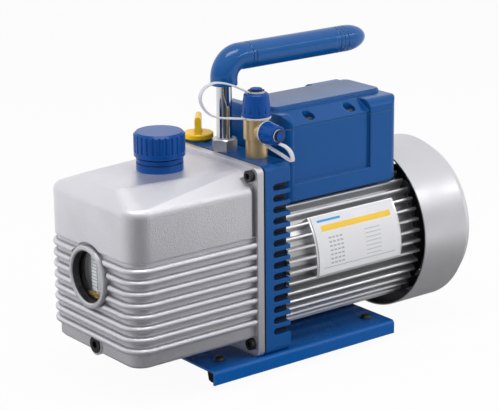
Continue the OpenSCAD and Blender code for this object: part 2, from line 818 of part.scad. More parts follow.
// Plan of the tank, drawn in from the fins' roots, up to a rear end
module tank_plan(inset, rear) {
  mid_x = core_front + core_corner;
  mid_w = core_w - core_corner;
  translate([mid_x, inset - core_w]) square([rear - mid_x, 2 * (core_w - inset)]);
  translate([core_front + inset, -mid_w]) square([core_corner - inset, 2 * mid_w]);
  for (y = [-mid_w, mid_w]) translate([mid_x, y]) circle(core_corner - inset);
}

// Flat top, wider towards the rim, drawn in by an inset, up to a rear end
module top_plan(inset, rear) {
  r = top_corner - min(inset, top_corner - 1);
  front = tank_front + top_back + inset;
  for (side = [-1, 1]) {
    translate([front + r, side * (top_front_w - inset - r)]) circle(r);
    translate([rear - r, side * (top_rear_w - inset - r) - r]) square([r, 2 * r]);
  }
}

// Thin slab of a plan, its top at z
module slab(z) { translate([0, 0, z - 0.01]) linear_extrude(0.01) children(); }

// Hipped roof from the eaves to the flat top, with softened edges
module tank_hip() {
  rear = tank_rear + over;
  hull($fn = 48) {
    slab(wall_top - over) tank_plan(0.05 - upper_proud, rear);
    for (a = [0 : 12 : 60])
      slab(wall_top + eave_round * sin(a)) tank_plan(0.05 + eave_round * (1 - cos(a)) - upper_proud, rear);
    slab(tank_top - 1.5) top_plan(-4, rear);
    slab(tank_top - 0.5) top_plan(-1.8, rear);
    slab(tank_top) top_plan(0, rear);
  }
}

module tank_cavity() {
  rear = tank_rear - over;
  hull($fn = 32) {
    slab(open_z[1] - over) tank_plan(tank_wall + room, rear);
    slab(tank_top - tank_roof) top_plan(tank_roof / 2, rear);
  }
}

module oil_tank() {
  color([0.75, 0.75, 0.77]) place() difference() {
    union() {
      difference() {
        union() {
          tank_walls();
          tank_hip();
          translate([0, 0, tank_bottom]) linear_extrude(tank_roof)
            tank_plan(tank_wall - over, tank_rear + over);
        }
        tank_cavity();
        for (side = [0, 1]) mirror([0, side, 0])
          translate([tank_rear - channel_w, core_w - over, upper_z + over])
            cube([channel_w + 2 * over, tank_wall, tank_top]);
        corners() rod_x(tank_rear - corner_pocket_l, tank_rear + 2 * over, corner_pocket_r);
        rod_x(tank_front - over, core_front + room, bezel_r + sight_gap, 0, sight_z);
      }
      stand(tank_rear) linear_extrude(rim_t) difference() {
        plate_outline(bracket_w, base_h, bracket_top, bracket_r);
        rim_opening(0);
      }
      rod_x(tank_front, ledge_rear, bezel_r, 0, sight_z);
      rod_x(drain_front, core_front + tank_wall, drain_boss_r, drain_y, drain_z);
    }
    corners() rod_x(tank_rear - over, over, corner_screw_r + room);
    rod_x(tank_front - over, ledge_front, sleeve_r, 0, sight_z);
    rod_x(tank_front, ledge_rear + over, sleeve_r - ledge_w, 0, sight_z);
    rod_x(tank_front - over, drain_floor, drain_head_r + 2 * room, drain_y, drain_z);
    rod_x(drain_front, drain_floor + drain_l + over, drain_r + run, drain_y, drain_z);
    rod_z(tank_top - tank_roof - over, tank_top + over, cap_thread_r + 1.2, filler.x, filler.y);
  }
}

module tank_screws() {
  color([0.08, 0.08, 0.09]) place() corners() translate([tank_rear, 0, 0])
    socket_screw(corner_head_r, corner_head_h, corner_screw_r, rim_t + gasket_t + 2 * bracket_face);
}

module sight_bezel() {
  r0 = bezel_r - bezel_ring;
  bevel = 1.5;
  edge = 0.8;
  color([0.82, 0.82, 0.83]) place() stand(bezel_front) translate([0, sight_z, 0]) rotate_extrude()
    polygon([[r0 + bevel, 0], [bezel_r - edge, 0], [bezel_r, edge], [bezel_r, bezel_proud],
      [sleeve_r - room, bezel_proud], [sleeve_r - room, bezel_l], [r0, bezel_l], [r0, bevel]]);
}

module sight_glass() {
  color([0.8, 0.88, 0.9, 0.4]) place() rod_x(glass_front, seal_front, sleeve_r - room, 0, sight_z);
}

module sight_seal() {
  color([0.08, 0.08, 0.08]) place()
    ring_x(seal_front, ledge_front, sleeve_r - ledge_w + room, sleeve_r - room, 0, sight_z);
}

// Round card behind the glass, open on one side between two arms, with the strip along its free edge
module oil_level_plate() {
  reach = sleeve_r - ledge_w / 2;
  card_t = 1;
  arm = 0.7 * reach;
  color([0.93, 0.93, 0.92]) place() difference() {
    union() {
      rod_x(ledge_rear, ledge_rear + card_t, reach, 0, sight_z);
      translate([ledge_rear - card_t / 2, card_edge - strip_w, sight_z - arm + over])
        cube([card_t, strip_w, 2 * (arm - over)]);
    }
    translate([ledge_rear - over, card_edge, sight_z - arm]) cube([card_t + 2 * over, reach, 2 * arm]);
  }
}

module drain_plug() {
  head_rear = drain_floor - drain_seal_t;
  head_front = head_rear - drain_head_t;
  color([0.07, 0.07, 0.08]) place() difference() {
    union() {
      rod_x(head_front, head_rear, drain_head_r, drain_y, drain_z);
      rod_x(head_rear - over, head_rear + drain_l, drain_r, drain_y, drain_z);
    }
    hex_x(head_front - over, head_front + 0.7 * drain_head_t, 0.52 * drain_head_r, drain_y, drain_z);
  }
}

module drain_seal() {
  color([0.1, 0.1, 0.1]) place()
    ring_x(drain_floor - drain_seal_t, drain_floor, drain_r + room, drain_head_r, drain_y, drain_z);
}

module oil_fill_neck() {
  groove_z = [collar_top - 4, collar_top - 2.8];
  groove_depth = 1;
  color([0.09, 0.3, 0.58]) place() difference() {
    union() {
      rod_z(tank_top, collar_top, collar_r, filler.x, filler.y);
      rod_z(tank_top - tank_roof, tank_top + over, cap_thread_r + 1.1, filler.x, filler.y);
    }
    rod_z(tank_top - tank_roof - over, collar_top + over, cap_thread_r + run, filler.x, filler.y);
    ring_z(groove_z[0], groove_z[1], collar_r - groove_depth, collar_r + over, filler.x, filler.y);
  }
}

module oil_cap() {
  groove_r = 1.3;
  groove_out = 0.5;
  band_h = 4;
  color([0.09, 0.3, 0.58]) place() translate([filler.x, filler.y, oil_cap_z]) difference() {
    union() {
      rotate_extrude() polygon([[0, 0], [oil_cap_r - 0.6, 0], [oil_cap_r, 0.6], [oil_cap_r, oil_cap_h - 2],
        [oil_cap_r - 2, oil_cap_h], [0, oil_cap_h]]);
      rod_z(-cap_thread_l, over, cap_thread_r);
    }
    rod_z(-cap_thread_l - over, oil_cap_h - 3, cap_thread_r - 2.5);
    for (k = [0 : knurl_n - 1]) rotate([0, 0, k * 360 / knurl_n])
      translate([oil_cap_r + groove_out, 0, band_h]) cylinder(h = oil_cap_h, r = groove_r, $fn = 24);
  }
}

module oil_cap_seal() {
  color([0.1, 0.1, 0.1]) place()
    ring_z(collar_top, oil_cap_z, cap_thread_r + room, collar_r - 2, filler.x, filler.y);
}

module pump_stator() {
  color([0.45, 0.46, 0.48]) place() difference() {
    rod_x(bore_x, rear_plate_x, stator_r, 0, bore_z);
    rod_x(bore_x - over, rear_plate_x + over, bore_r, 0, bore_z);
    pump_bolt_holes(bore_x - over, rear_plate_x + over, pump_bolt_r + room);
    translate([bore_x - over, -stator_r, valve_z]) cube([bore_l + 2 * over, 2 * stator_r, stator_r]);
    for (x = [0.4, 0.6])
      rod_z(bore_z + bore_r / 2, valve_z + over, port_r, lerp(bore_x, rear_plate_x, x), port_y);
  }
}

module pump_rotor() {
  color([0.6, 0.61, 0.63]) place() difference() {
    union() {
      rod_x(bore_x + run, rear_plate_x - run, rotor_r, 0, shaft_h);
      rod_x(front_plate_x, bore_x + over, journal_r, 0, shaft_h);
      rod_x(rear_plate_x - over, pump_hub_x - 0.5, journal_r, 0, shaft_h);
      rod_x(pump_hub_x - over, pump_jaw_x, journal_r - 1, 0, shaft_h);
    }
    translate([bore_x + run, -slot_w / 2, shaft_h - bore_r]) cube([bore_l - 2 * run, slot_w, 2 * bore_r]);
  }
}

module vanes() {
  l = bore_l - 4 * run;
  foot = spacer_r + 3 * run;
  nose = vane_reach - vane_t / 2;
  color([0.2, 0.2, 0.21]) place() for (up = [0, 1])
    translate([bore_x + 2 * run, 0, bore_z]) mirror([0, 0, up]) {
      translate([0, -vane_t / 2, foot]) cube([l, vane_t, nose - foot]);
      rod_x(0, l, vane_t / 2, 0, nose);
    }
}

module vane_spacer() {
  color([0.7, 0.7, 0.72]) place() rod_x(bore_x + 2 * run, rear_plate_x - 2 * run, spacer_r, 0, bore_z);
}

module pump_rear_plate() {
  color([0.5, 0.51, 0.53]) place() difference() {
    rod_x(rear_plate_x, -flange_t, stator_r, 0, bore_z);
    rod_x(rear_plate_x - over, -flange_t + over, journal_r + run, 0, shaft_h);
    pump_bolt_holes(rear_plate_x - over, -flange_t + over, pump_bolt_r + room);
    rod_x(rear_plate_x - over, -flange_t + over, suction_r, inlet_y, suction_z);
    translate([rear_plate_x - over, inlet_y, suction_z - suction_r])
      cube([end_plate_t / 2 + over, bore_r / 2, 2 * suction_r]);
  }
}

module pump_front_plate() {
  color([0.5, 0.51, 0.53]) place() difference() {
    rod_x(front_plate_x, bore_x, stator_r, 0, bore_z);
    rod_x(front_plate_x - over, bore_x + over, journal_r + run, 0, shaft_h);
    pump_bolt_holes(front_plate_x - over, bore_x + over, pump_bolt_r + room);
    translate([front_plate_x - over, -stator_r, valve_z])
      cube([end_plate_t + 2 * over, 2 * stator_r, stator_r]);
  }
}

module pump_bolts() {
  color([0.2, 0.2, 0.22]) place() for (a = [45 : 90 : 315])
    translate([front_plate_x, pump_bolt_at * cos(a), bore_z + pump_bolt_at * sin(a)])
      socket_screw(1.7 * pump_bolt_r, 2 * pump_bolt_r, pump_bolt_r, bracket_face - 1.5 - front_plate_x);
}

module discharge_valve() {
  reed_t = 0.5;
  stop_t = 1.6;
  w = 2 * port_r + 5.6;
  end = 5;
  l = bore_l - 2 * end;
  clamp = 9;
  screw_ys = [0.28 * w, 0.72 * w];
  color([0.75, 0.75, 0.72]) place() translate([bore_x + end, port_y - w / 2, valve_z]) {
    difference() {
      cube([l, w, reed_t]);
      for (y = screw_ys) rod_z(-over, over, small_screw_r + room, clamp / 2, y);
    }
    translate([0, 0, reed_t]) difference() {
      union() {
        cube([clamp, w, stop_t]);
        translate([clamp - stop_t, 0, 0]) cube([stop_t, w, 2 * stop_t]);
        translate([clamp - stop_t, 0, stop_t]) cube([l - clamp + stop_t, w, stop_t]);
      }
      for (y = screw_ys) rod_z(-over, stop_t + over, small_screw_r + room, clamp / 2, y);
    }
    for (y = screw_ys) translate([clamp / 2, y, reed_t + stop_t])
      pan_screw(1.5 * small_screw_r, 0.8 * small_screw_r, small_screw_r, reed_t + stop_t);
  }
}

module shaft_seal() {
  color([0.12, 0.1, 0.1]) place()
    ring_x(-seal_recess_t, -0.5, journal_r + run, seal_recess_r - run, 0, shaft_h);
}

module coupling() {
  jaw = 46;
  arm = 60 - jaw - 2;
  jaw_r0 = motor_shaft_r + 1.5;
  jaw_r1 = coupling_r - 0.5;
  spider_x = [pump_jaw_x + jaw_gap, motor_hub_x - jaw_gap];
  color([0.35, 0.36, 0.38]) place() {
    ring_x(pump_hub_x, pump_jaw_x, journal_r - 1 + 0.02, coupling_r, 0, shaft_h);
    for (a = [0, 120, 240]) sector(pump_jaw_x - over, spider_x[1], jaw_r0, jaw_r1, a - jaw / 2, jaw);
    ring_x(motor_hub_x, motor_hub_x + hub_t, motor_shaft_r + 0.02, coupling_r, 0, shaft_h);
    for (a = [60, 180, 300]) sector(spider_x[0], motor_hub_x + over, jaw_r0, jaw_r1, a - jaw / 2, jaw);
  }
  color([0.7, 0.15, 0.1]) place() {
    ring_x(spider_x[0], spider_x[1], jaw_r0 - 3, jaw_r0 - jaw_gap, 0, shaft_h);
    for (a = [30 : 60 : 330])
      sector(spider_x[0] + 0.1, spider_x[1] - 0.1, jaw_r0 - 2, jaw_r1, a - arm / 2, arm);
  }
}

// Outline of the finned housing: one tapered, blunt-nosed fin for each step round the circle
function housing_fin(a) =
  let (tip = asin(motor_fin_t / 2 / motor_r), root = 1.5 * asin(motor_fin_t / 2 / motor_root_r))
  [for (p = [[motor_root_r, -root], [motor_r - 1, -tip], [motor_r, -tip / 2], [motor_r, tip / 2],
             [motor_r - 1, tip], [motor_root_r, root]])
    p[0] * [cos(a + p[1]), sin(a + p[1])]];

module motor_housing() {
  color([0.78, 0.78, 0.79]) place() difference() {
    union() {
      translate([0, 0, shaft_h]) stand(bracket_d) linear_extrude(motor_l)
        polygon([for (k = [0 : motor_fin_n - 1]) each housing_fin(k * 360 / motor_fin_n)]);
      sector(bracket_d + plate_x - 2, bracket_d + plate_x + plate_l + 2, motor_bore_r + 2, plate_r,
        180 + plate_low - plate_deg - 1, plate_deg + 2);
      translate([box_front + pad_inset, -pad_w / 2, shaft_h + motor_bore_r + 2])
        cube([box_l - 2 * pad_inset, pad_w, box_floor_up - motor_bore_r - 2]);
    }
    rod_x(bracket_d - over, housing_rear + over, motor_bore_r, 0, shaft_h);
    on_circle(motor_screw_at, front_screw_angles)
      rod_x(bracket_d - over, bracket_d + motor_screw_l + 2, motor_screw_r + room);
    on_circle(motor_screw_at, rear_screw_angles)
      rod_x(housing_rear - motor_screw_l - 2, housing_rear + over, motor_screw_r + room);
    rod_z(shaft_h + motor_bore_r - lead_hole_r, box_floor + over, lead_hole_r, (box_front + box_rear) / 2, 0);
    for (y = pad_screw_ys)
      rod_z(box_floor - pad_screw_l - 2, box_floor + over, small_screw_r + room, pad_screw_x, y);
  }
}

module end_shields() {
  color([0.72, 0.72, 0.73]) place() {
    difference() {
      union() {
        rod_x(bracket_d - bracket_back, bracket_d + over, register_r - run, 0, shaft_h);
        rod_x(bracket_d, bracket_d + shield_t, motor_bore_r - run, 0, shaft_h);
      }
      rod_x(bracket_d - bracket_back - over, front_bearing_x + over, motor_shaft_r + shaft_gap, 0, shaft_h);
      rod_x(front_bearing_x, bracket_d + shield_t + over, bearing_r, 0, shaft_h);
    }
    difference() {
      union() {
        rod_x(housing_rear - spigot_l, housing_rear + over, motor_bore_r - run, 0, shaft_h);
        rod_x(housing_rear, shield_rear, motor_root_r + 4, 0, shaft_h);
        on_circle(standoff_at, lug_angles) rod_x(housing_rear, shield_rear, standoff_r + 2.5);
      }
      rod_x(housing_rear - spigot_l - over, rear_bearing_x, motor_bore_r - 6, 0, shaft_h);
      rod_x(housing_rear - spigot_l, shield_rear + over, motor_shaft_r + shaft_gap, 0, shaft_h);
      rod_x(housing_rear - spigot_l, rear_bearing_x + bearing_w, bearing_r, 0, shaft_h);
      on_circle(motor_screw_at, rear_screw_angles)
        rod_x(housing_rear - over, shield_rear + over, motor_screw_r + room);
      on_circle(standoff_at, lug_angles) rod_x(housing_rear - over, shield_rear + over, stud_r + room);
    }
  }
}

module bearings() {
  r0 = motor_shaft_r + run;
  r1 = bearing_r - run;
  race = 2.4;
  dip = 0.8;
  half = [[r0, 0], [r0 + race, 0], [r0 + race, dip], [r1 - race, dip], [r1 - race, 0], [r1, 0]];
  color([0.66, 0.67, 0.69]) place() for (x = [front_bearing_x, rear_bearing_x])
    stand(x) translate([0, shaft_h, 0]) rotate_extrude()
      polygon(concat(half, [for (i = [len(half) - 1 : -1 : 0]) [half[i].x, bearing_w - half[i].y]]));
}

module motor_shaft() {
  color([0.62, 0.63, 0.66]) place() rod_x(motor_hub_x + 0.2, shaft_end, motor_shaft_r, 0, shaft_h);
}

module rotor_core() {
  color([0.5, 0.5, 0.52]) place()
    ring_x(core_x - 2, core_x + core_l + 2, motor_shaft_r + 0.02, rotor_core_r, 0, shaft_h);
}

module stator_core() {
  color([0.4, 0.41, 0.43]) place()
    ring_x(core_x, core_x + core_l, rotor_core_r + 0.4, motor_bore_r - run, 0, shaft_h);
}

module end_turns() {
  w = turns_r[1] - turns_r[0];
  soft = 3;
  rotate_extrude() translate([turns_r[0], 0]) polygon(concat(
    [for (a = [180 : 30 : 270]) [soft + soft * cos(a), soft + soft * sin(a)]],
    [for (a = [-90 : 30 : 0]) [w - soft + soft * cos(a), soft + soft * sin(a)]],
    [[w, turns_l], [0, turns_l]]));
}

module windings() {
  color([0.62, 0.33, 0.13]) place() {
    stand(core_x - turns_l) translate([0, shaft_h, 0]) end_turns();
    stand(core_x + core_l + turns_l) translate([0, shaft_h, 0]) mirror([0, 0, 1]) end_turns();
  }
}

module motor_screws() {
  head = motor_screw_head_r;
  color([0.3, 0.3, 0.32]) place() {
    on_circle(motor_screw_at, front_screw_angles) translate([bracket_d - bracket_back, 0, 0])
      socket_screw(head, head, motor_screw_r, bracket_back + motor_screw_l);
    on_circle(motor_screw_at, rear_screw_angles) translate([shield_rear, 0, 0]) mirror([1, 0, 0])
      socket_screw(head, head - 0.5, motor_screw_r, shield_t + motor_screw_l);
  }
}

module rating_plate() {
  color([0.94, 0.94, 0.94]) place()
    sector(bracket_d + plate_x, bracket_d + plate_x + plate_l, plate_r + run, plate_r + plate_t,
      180 + plate_low - plate_deg, plate_deg);
}

module fan() {
  hub_r = motor_shaft_r + 6;
  blade_t = 2;
  color([0.1, 0.1, 0.11]) place() difference() {
    union() {
      rod_x(fan_x - over, fan_x + fan_w + over, hub_r, 0, shaft_h);
      rod_x(fan_x, fan_x + fan_disc_t, fan_r - 3, 0, shaft_h);
      for (k = [0 : blade_n - 1]) translate([fan_x + fan_disc_t / 2, 0, shaft_h])
        rotate([(k + 0.3) * 360 / blade_n, 0, 0]) translate([0, -blade_t / 2, hub_r - over])
          cube([fan_w - fan_disc_t / 2, blade_t, fan_r - hub_r + over]);
    }
    rod_x(fan_x - 2 * over, fan_x + fan_w + 2 * over, motor_shaft_r + 0.02, 0, shaft_h);
  }
}

module fan_cover() {
  rear_r = cover_r - chamfer_w;
  slot_w_ring = 4.5;
  ring_step = 8;
  color([0.8, 0.8, 0.81]) place() difference() {
    stand(cover_x) translate([0, shaft_h, 0]) rotate_extrude() polygon([
      [cover_r - cover_t, 0], [cover_r, 0], [cover_r, cover_l - chamfer_l], [rear_r, cover_l], [0, cover_l],
      [0, cover_l - cover_t], [rear_r - 0.6 * cover_t, cover_l - cover_t],
      [cover_r - cover_t, cover_l - chamfer_l - 0.6 * cover_t]]);
    for (r = [14 : ring_step : standoff_at - standoff_r - 3 - slot_w_ring], a = [0 : 90 : 270])
      sector(cover_rear - 2 * cover_t, cover_rear + over, r, r + slot_w_ring, a + 6, 78);
    on_circle(standoff_at, lug_angles) rod_x(cover_rear - 2 * cover_t, cover_rear + over, stud_r + room);
  }
}

module cover_standoffs() {
  color([0.6, 0.6, 0.62]) place() on_circle(standoff_at, lug_angles) difference() {
    union() {
      rod_x(shield_rear, cover_rear - cover_t, standoff_r);
      rod_x(housing_rear + 1, shield_rear + over, stud_r);
    }
    rod_x(cover_rear - cover_t - stud_l - 2, cover_rear, stud_r + run);
  }
}

module cover_screws() {
  color([0.3, 0.3, 0.32]) place() on_circle(standoff_at, lug_angles) translate([cover_rear, 0, 0])
    rotate([0, 90, 0]) pan_screw(standoff_r, cover_head, stud_r, cover_t + stud_l);
}

module box_plan(inset) {
  plan_outline(box_front + inset, box_rear - inset, box_w - 2 * inset, box_r - inset);
}

module recess_places() { for (x = recess_xs, y = [-recess_y, recess_y]) translate([x, y, 0]) children(); }

module terminal_box() {
  cradle_x = box_front + 34;
  color([0.1, 0.31, 0.6]) place() difference() {
    union() {
      difference() {
        translate([0, 0, box_floor - skirt_h]) linear_extrude(box_h + skirt_h) box_plan(0);
        translate([0, 0, box_floor + floor_t]) linear_extrude(box_h) box_plan(shell_t);
        translate([0, 0, box_floor - skirt_h - over]) linear_extrude(skirt_h + over) box_plan(shell_t);
        rod_x(box_front - over, box_rear + over, motor_r + 1, 0, shaft_h);
        for (side = [0, 1]) mirror([0, side, 0])
          translate([box_front + box_r, box_w / 2 - panel_cut, box_floor + 1])
            cube([panel_l, panel_cut + over, box_h]);
      }
      recess_places() rod_z(box_floor + over, box_top, 4.5);
      for (x = [0, 24]) translate([cradle_x + x, -capacitor_r - 3, box_floor + over])
        cube([6, 2 * capacitor_r + 6, floor_t + capacitor_r - over]);
    }
    recess_places() rod_z(box_floor + floor_t + 6, box_top + over, small_screw_r + room);
    rod_x(cradle_x - over, cradle_x + 32, capacitor_r + run, 0, box_floor + floor_t + capacitor_r + 1);
    translate([box_rear - shell_t - over, switch_y - rocker_w / 2 - 2, rear_fit_z - rocker_h / 2 - 2.5])
      cube([shell_t + 2 * over, rocker_w + 4, rocker_h + 5]);
    translate([box_rear - shell_t - over, socket_y - 13, rear_fit_z - 9.5])
      cube([shell_t + 2 * over, 26, 19]);
    rod_z(box_floor - over, box_floor + floor_t + over, lead_hole_r, (box_front + box_rear) / 2, 0);
    for (y = pad_screw_ys)
      rod_z(box_floor - over, box_floor + floor_t + over, small_screw_r + room, pad_screw_x, y);
  }
}

module hood_outline(inset) {
  half = box_w / 2 - panel_cut - inset;
  top = hood_h - inset;
  polygon([[-half, -over - inset], [half, -over - inset], [half, hood_edge], [hood_top - inset / 2, top],
    [inset / 2 - hood_top, top], [-half, hood_edge]]);
}

// Chamfered middle of the cover between its two round-shouldered bands
module hood() {
  translate([0, 0, hood_z]) {
    stand(box_front + over) linear_extrude(box_l - 2 * over) hood_outline(0);
    for (x = [[box_front - over, box_front + box_r], [panel_rear, box_rear + over]])
      stand(x[0]) linear_extrude(x[1] - x[0]) translate([0, -over])
        channel_outline(box_w + room, hood_h + band_proud + over, band_r);
  }
}

module box_cover() {
  color([0.1, 0.31, 0.6]) place() difference() {
    union() {
      intersection() {
        difference() {
          hood();
          translate([0, 0, hood_z]) stand(box_front + shell_t) linear_extrude(box_l - 2 * shell_t)
            hood_outline(box_wall);
        }
        translate([0, 0, hood_z]) linear_extrude(hood_h + over) box_plan(0);
      }
      intersection() {
        recess_places() rod_z(hood_z, hood_top_z, recess_r + 1.6);
        translate([0, 0, hood_z]) stand(box_front) linear_extrude(box_l) hood_outline(0);
      }
      translate([0, 0, hood_top_z - over]) linear_extrude(lid_h + over - 1)
        plan_outline(box_front + 5, box_rear - 0.5, 2 * lid_w, 6);
      translate([0, 0, lid_z - 1 - 0.01]) linear_extrude(1.01)
        plan_outline(box_front + 6, box_rear - 1.5, 2 * lid_w - 2, 5);
    }
    recess_places() {
      rod_z(recess_z, lid_z, recess_r);
      rod_z(hood_z - over, lid_z, small_screw_r + room);
    }
  }
}

module box_screws() {
  head_r = 2.2 * small_screw_r;
  head_h = 1.2 * small_screw_r;
  color([0.08, 0.08, 0.09]) place() {
    recess_places() translate([0, 0, recess_z])
      pan_screw(head_r, head_h, small_screw_r, recess_z - box_floor - floor_t - 8);
    for (y = pad_screw_ys) translate([pad_screw_x, y, box_floor + floor_t])
      pan_screw(head_r, head_h, small_screw_r, floor_t + pad_screw_l);
  }
}

module capacitor() {
  z = box_floor + floor_t + capacitor_r + 1;
  x = box_front + 22;
  color([0.86, 0.86, 0.84]) place() {
    rod_x(x, x + capacitor_l, capacitor_r, 0, z);
    for (y = [-5, 5]) translate([x - 6, y - 3, z - 0.5]) cube([6 + over, 6, 1]);
  }
}

module switch_frame() {
  half_h = rocker_h / 2 + 1.1;
  half_w = rocker_w / 2 + 0.3;
  color([0.06, 0.06, 0.07]) place() translate([box_rear, switch_y, rear_fit_z]) difference() {
    union() {
      translate([0, -half_w - 3, -half_h - 3]) cube([fit_flange_t, 2 * half_w + 6, 2 * half_h + 6]);
      translate([-18, -half_w - 1.4, -half_h - 1.2]) cube([18 + over, 2 * half_w + 2.8, 2 * half_h + 2.4]);
    }
    translate([-10, -half_w, -half_h]) cube([10 + fit_flange_t + over, 2 * half_w, 2 * half_h]);
    rod_y(-half_w - 1, half_w + 1, pivot_r + run, rocker_pivot.x - box_rear, 0);
  }
}

module rocker() {
  h = rocker_h / 2;
  color([0.08, 0.08, 0.09]) place() translate(rocker_pivot) rotate([0, -rocker_tilt, 0]) {
    translate([0, rocker_w / 2, 0]) rotate([90, 0, 0]) linear_extrude(rocker_w)
      polygon([[-3, -h + 1], [0, -h], [4.6, -h], [2.8, 0], [4.6, h], [0, h], [-3, h - 1]]);
    rod_y(-rocker_w / 2 - 1, rocker_w / 2 + 1, pivot_r, 0, 0);
  }
}

module power_inlet() {
  color([0.06, 0.06, 0.07]) place() translate([box_rear, socket_y, rear_fit_z]) {
    difference() {
      union() {
        translate([0, -15, -11.5]) cube([fit_flange_t, 30, 23]);
        translate([-18, -12.8, -9.3]) cube([18 + over, 25.6, 18.6]);
      }
      stand(-15) linear_extrude(15 + fit_flange_t + over)
        polygon([[-11.5, -7.5], [11.5, -7.5], [11.5, 3], [7, 7.5], [-7, 7.5], [-11.5, 3]]);
    }
    for (p = [[-7, -2], [0, 2], [7, -2]]) translate([-15, p.x - 1, p.y - 2]) cube([12, 2, 4]);
  }
}

module handle_grip() {
  straight = grip_l - grip_bend - tip_l;
  pad_x = [grip_bend + 10, grip_bend + straight - 16];
  pad_h = 0.9 * grip_r;
  pad_proud = 0.5;
  line_xs = concat([pad_x[0] - 4], [for (k = [1 : 3]) pad_x[1] + 4 * k]);
  line_w = 0.9;
  line_depth = 0.4;
  color([0.1, 0.33, 0.62]) place() translate([post_x, 0, 0]) difference() {
    union() {
      rod_z(grip_base, grip_base + stub_l, grip_r);
      translate([grip_bend, 0, grip_z - grip_bend]) rotate([90, 0, 0]) rotate([0, 0, 90])
        rotate_extrude(angle = 90) translate([grip_bend, 0]) circle(grip_r);
      rod_x(grip_bend, grip_bend + straight, grip_r, 0, grip_z);
      intersection() {
        rod_x(pad_x[0], pad_x[1], grip_r + pad_proud, 0, grip_z);
        translate([0, -2 * grip_r, grip_z - pad_h / 2]) cube([grip_l, 4 * grip_r, pad_h]);
      }
      stand(grip_bend + straight) translate([0, grip_z, 0]) rotate_extrude()
        polygon(concat([[0, 0]], [for (a = [0 : 10 : 90]) [grip_r * cos(a), tip_l * sin(a)]]));
    }
    rod_z(grip_base - over, post_top, post_r + room);
    for (x = line_xs) ring_x(x, x + line_w, grip_r - line_depth, grip_r + over, 0, grip_z);
  }
}

module handle_post() {
  color([0.86, 0.87, 0.88]) place() translate([post_x, 0, 0]) {
    rod_z(bracket_top, post_top - 0.2, post_r);
    rod_z(bracket_top - bracket_wall, bracket_top + over, spigot_r);
  }
}

module handle_nut() {
  chamfer = 0.11 * nut_r;
  color([0.84, 0.85, 0.86]) place() translate([post_x, 0, bracket_top]) difference() {
    intersection() {
      cylinder(h = nut_h, r = nut_r, $fn = 6);
      rotate_extrude() polygon([[0, -over], [nut_r + over, -over], [nut_r + over, nut_h - 1.6 * chamfer],
        [nut_r, nut_h - chamfer], [nut_r - 2 * chamfer, nut_h], [nut_r - 2 * chamfer, nut_h + over],
        [0, nut_h + over]]);
    }
    rod_z(-over, nut_h + over, post_r + room);
  }
}

module inlet_fitting() {
  foot_top = bracket_top + inlet_foot_h;
  color([0.7, 0.55, 0.33]) place() translate([inlet_x, inlet_y, 0]) difference() {
    union() {
      rod_z(bracket_top - bracket_wall, bracket_top + over, port_thread_r - over);
      rod_z(bracket_top, foot_top, inlet_foot_r);
      rod_z(foot_top - over, neck_z, inlet_r);
      rod_z(neck_z - over, neck_z + port_l, port_thread_r);
      rod_y(-branch_l, 0, side_size * inlet_r, 0, branch_z);
      rod_y(-branch_l - side_size * port_l, 0, side_size * port_thread_r, 0, branch_z);
    }
    rod_z(bracket_top - bracket_wall - over, neck_z + port_l + over, inlet_bore_r);
    rod_y(-branch_l - port_l - over, 0, side_size * inlet_bore_r, 0, branch_z);
  }
}

// Inlet cap standing on its mouth at the origin, with flutes and a button on its end
module inlet_cap() {
  flute_n = 12;
  button_top = cap_h + button_h;
  difference() {
    rotate_extrude() polygon([[0, 0], [cap_r, 0], [cap_r, 1.5], [cap_end_r, cap_h - 1],
      [cap_end_r - 1, cap_h], [button_r - 1, cap_h], [button_r - 1, button_top - 1.2],
      [button_r, button_top - 1.2], [button_r, button_top], [0, button_top]]);
    rod_z(-over, port_l - cap_from + 0.6, port_thread_r + run);
    for (k = [0 : flute_n - 1]) rotate([0, 0, k * 360 / flute_n])
      translate([cap_r + 0.5, 0, 2.5]) cylinder(h = cap_h, r = 1.4, $fn = 24);
  }
}

module cap_button_ring() {
  z0 = cap_h + 0.3;
  ring_z(z0, z0 + tether_ring_t, button_r - 1 + room, button_r + 2);
}

module neck_ring() { ring_z(ring_gap, ring_gap + tether_ring_t, port_thread_r + room, neck_ring_r); }

// Children set on the top port, or turned onto the side port
module on_top_port() { place() translate([inlet_x, inlet_y, neck_z]) children(); }

module on_side_port() {
  place() translate([inlet_x, neck_y, branch_z]) rotate([90, 0, 0]) scale(side_size) children();
}

module top_cap() { color([0.1, 0.33, 0.62]) on_top_port() translate([0, 0, cap_from]) inlet_cap(); }

module top_cap_ring() {
  color([0.82, 0.82, 0.84]) on_top_port() translate([0, 0, cap_from]) cap_button_ring();
}

module top_tether() {
  start = [-neck_ring_r + 1, 0, ring_gap + tether_ring_t / 2];
  color([0.82, 0.82, 0.84]) on_top_port() {
    neck_ring();
    translate(start) strap(top_route, [0, 1, 0]);
  }
}

module side_cap() { color([0.1, 0.33, 0.62]) on_side_port() translate([0, 0, cap_from]) inlet_cap(); }

module side_cap_ring() {
  color([0.82, 0.82, 0.84]) on_side_port() translate([0, 0, cap_from]) cap_button_ring();
}

module side_tether() {
  start = [inlet_x, neck_y - side_size * (ring_gap + tether_ring_t / 2),
    branch_z - side_size * neck_ring_r + 1];
  color([0.82, 0.82, 0.84]) {
    on_side_port() neck_ring();
    place() translate(start) strap(side_route, [1, 0, 0]);
  }
}

module ballast_body() {
  color([0.7, 0.55, 0.33]) place() translate([ballast_x, ballast_y, 0]) {
    rod_z(bracket_top - bracket_wall, bracket_top + over, spigot_r);
    rod_z(bracket_top, bracket_top + 1, spigot_r + 4);
    rod_z(bracket_top, bracket_top + stem_h, stem_r);
  }
}

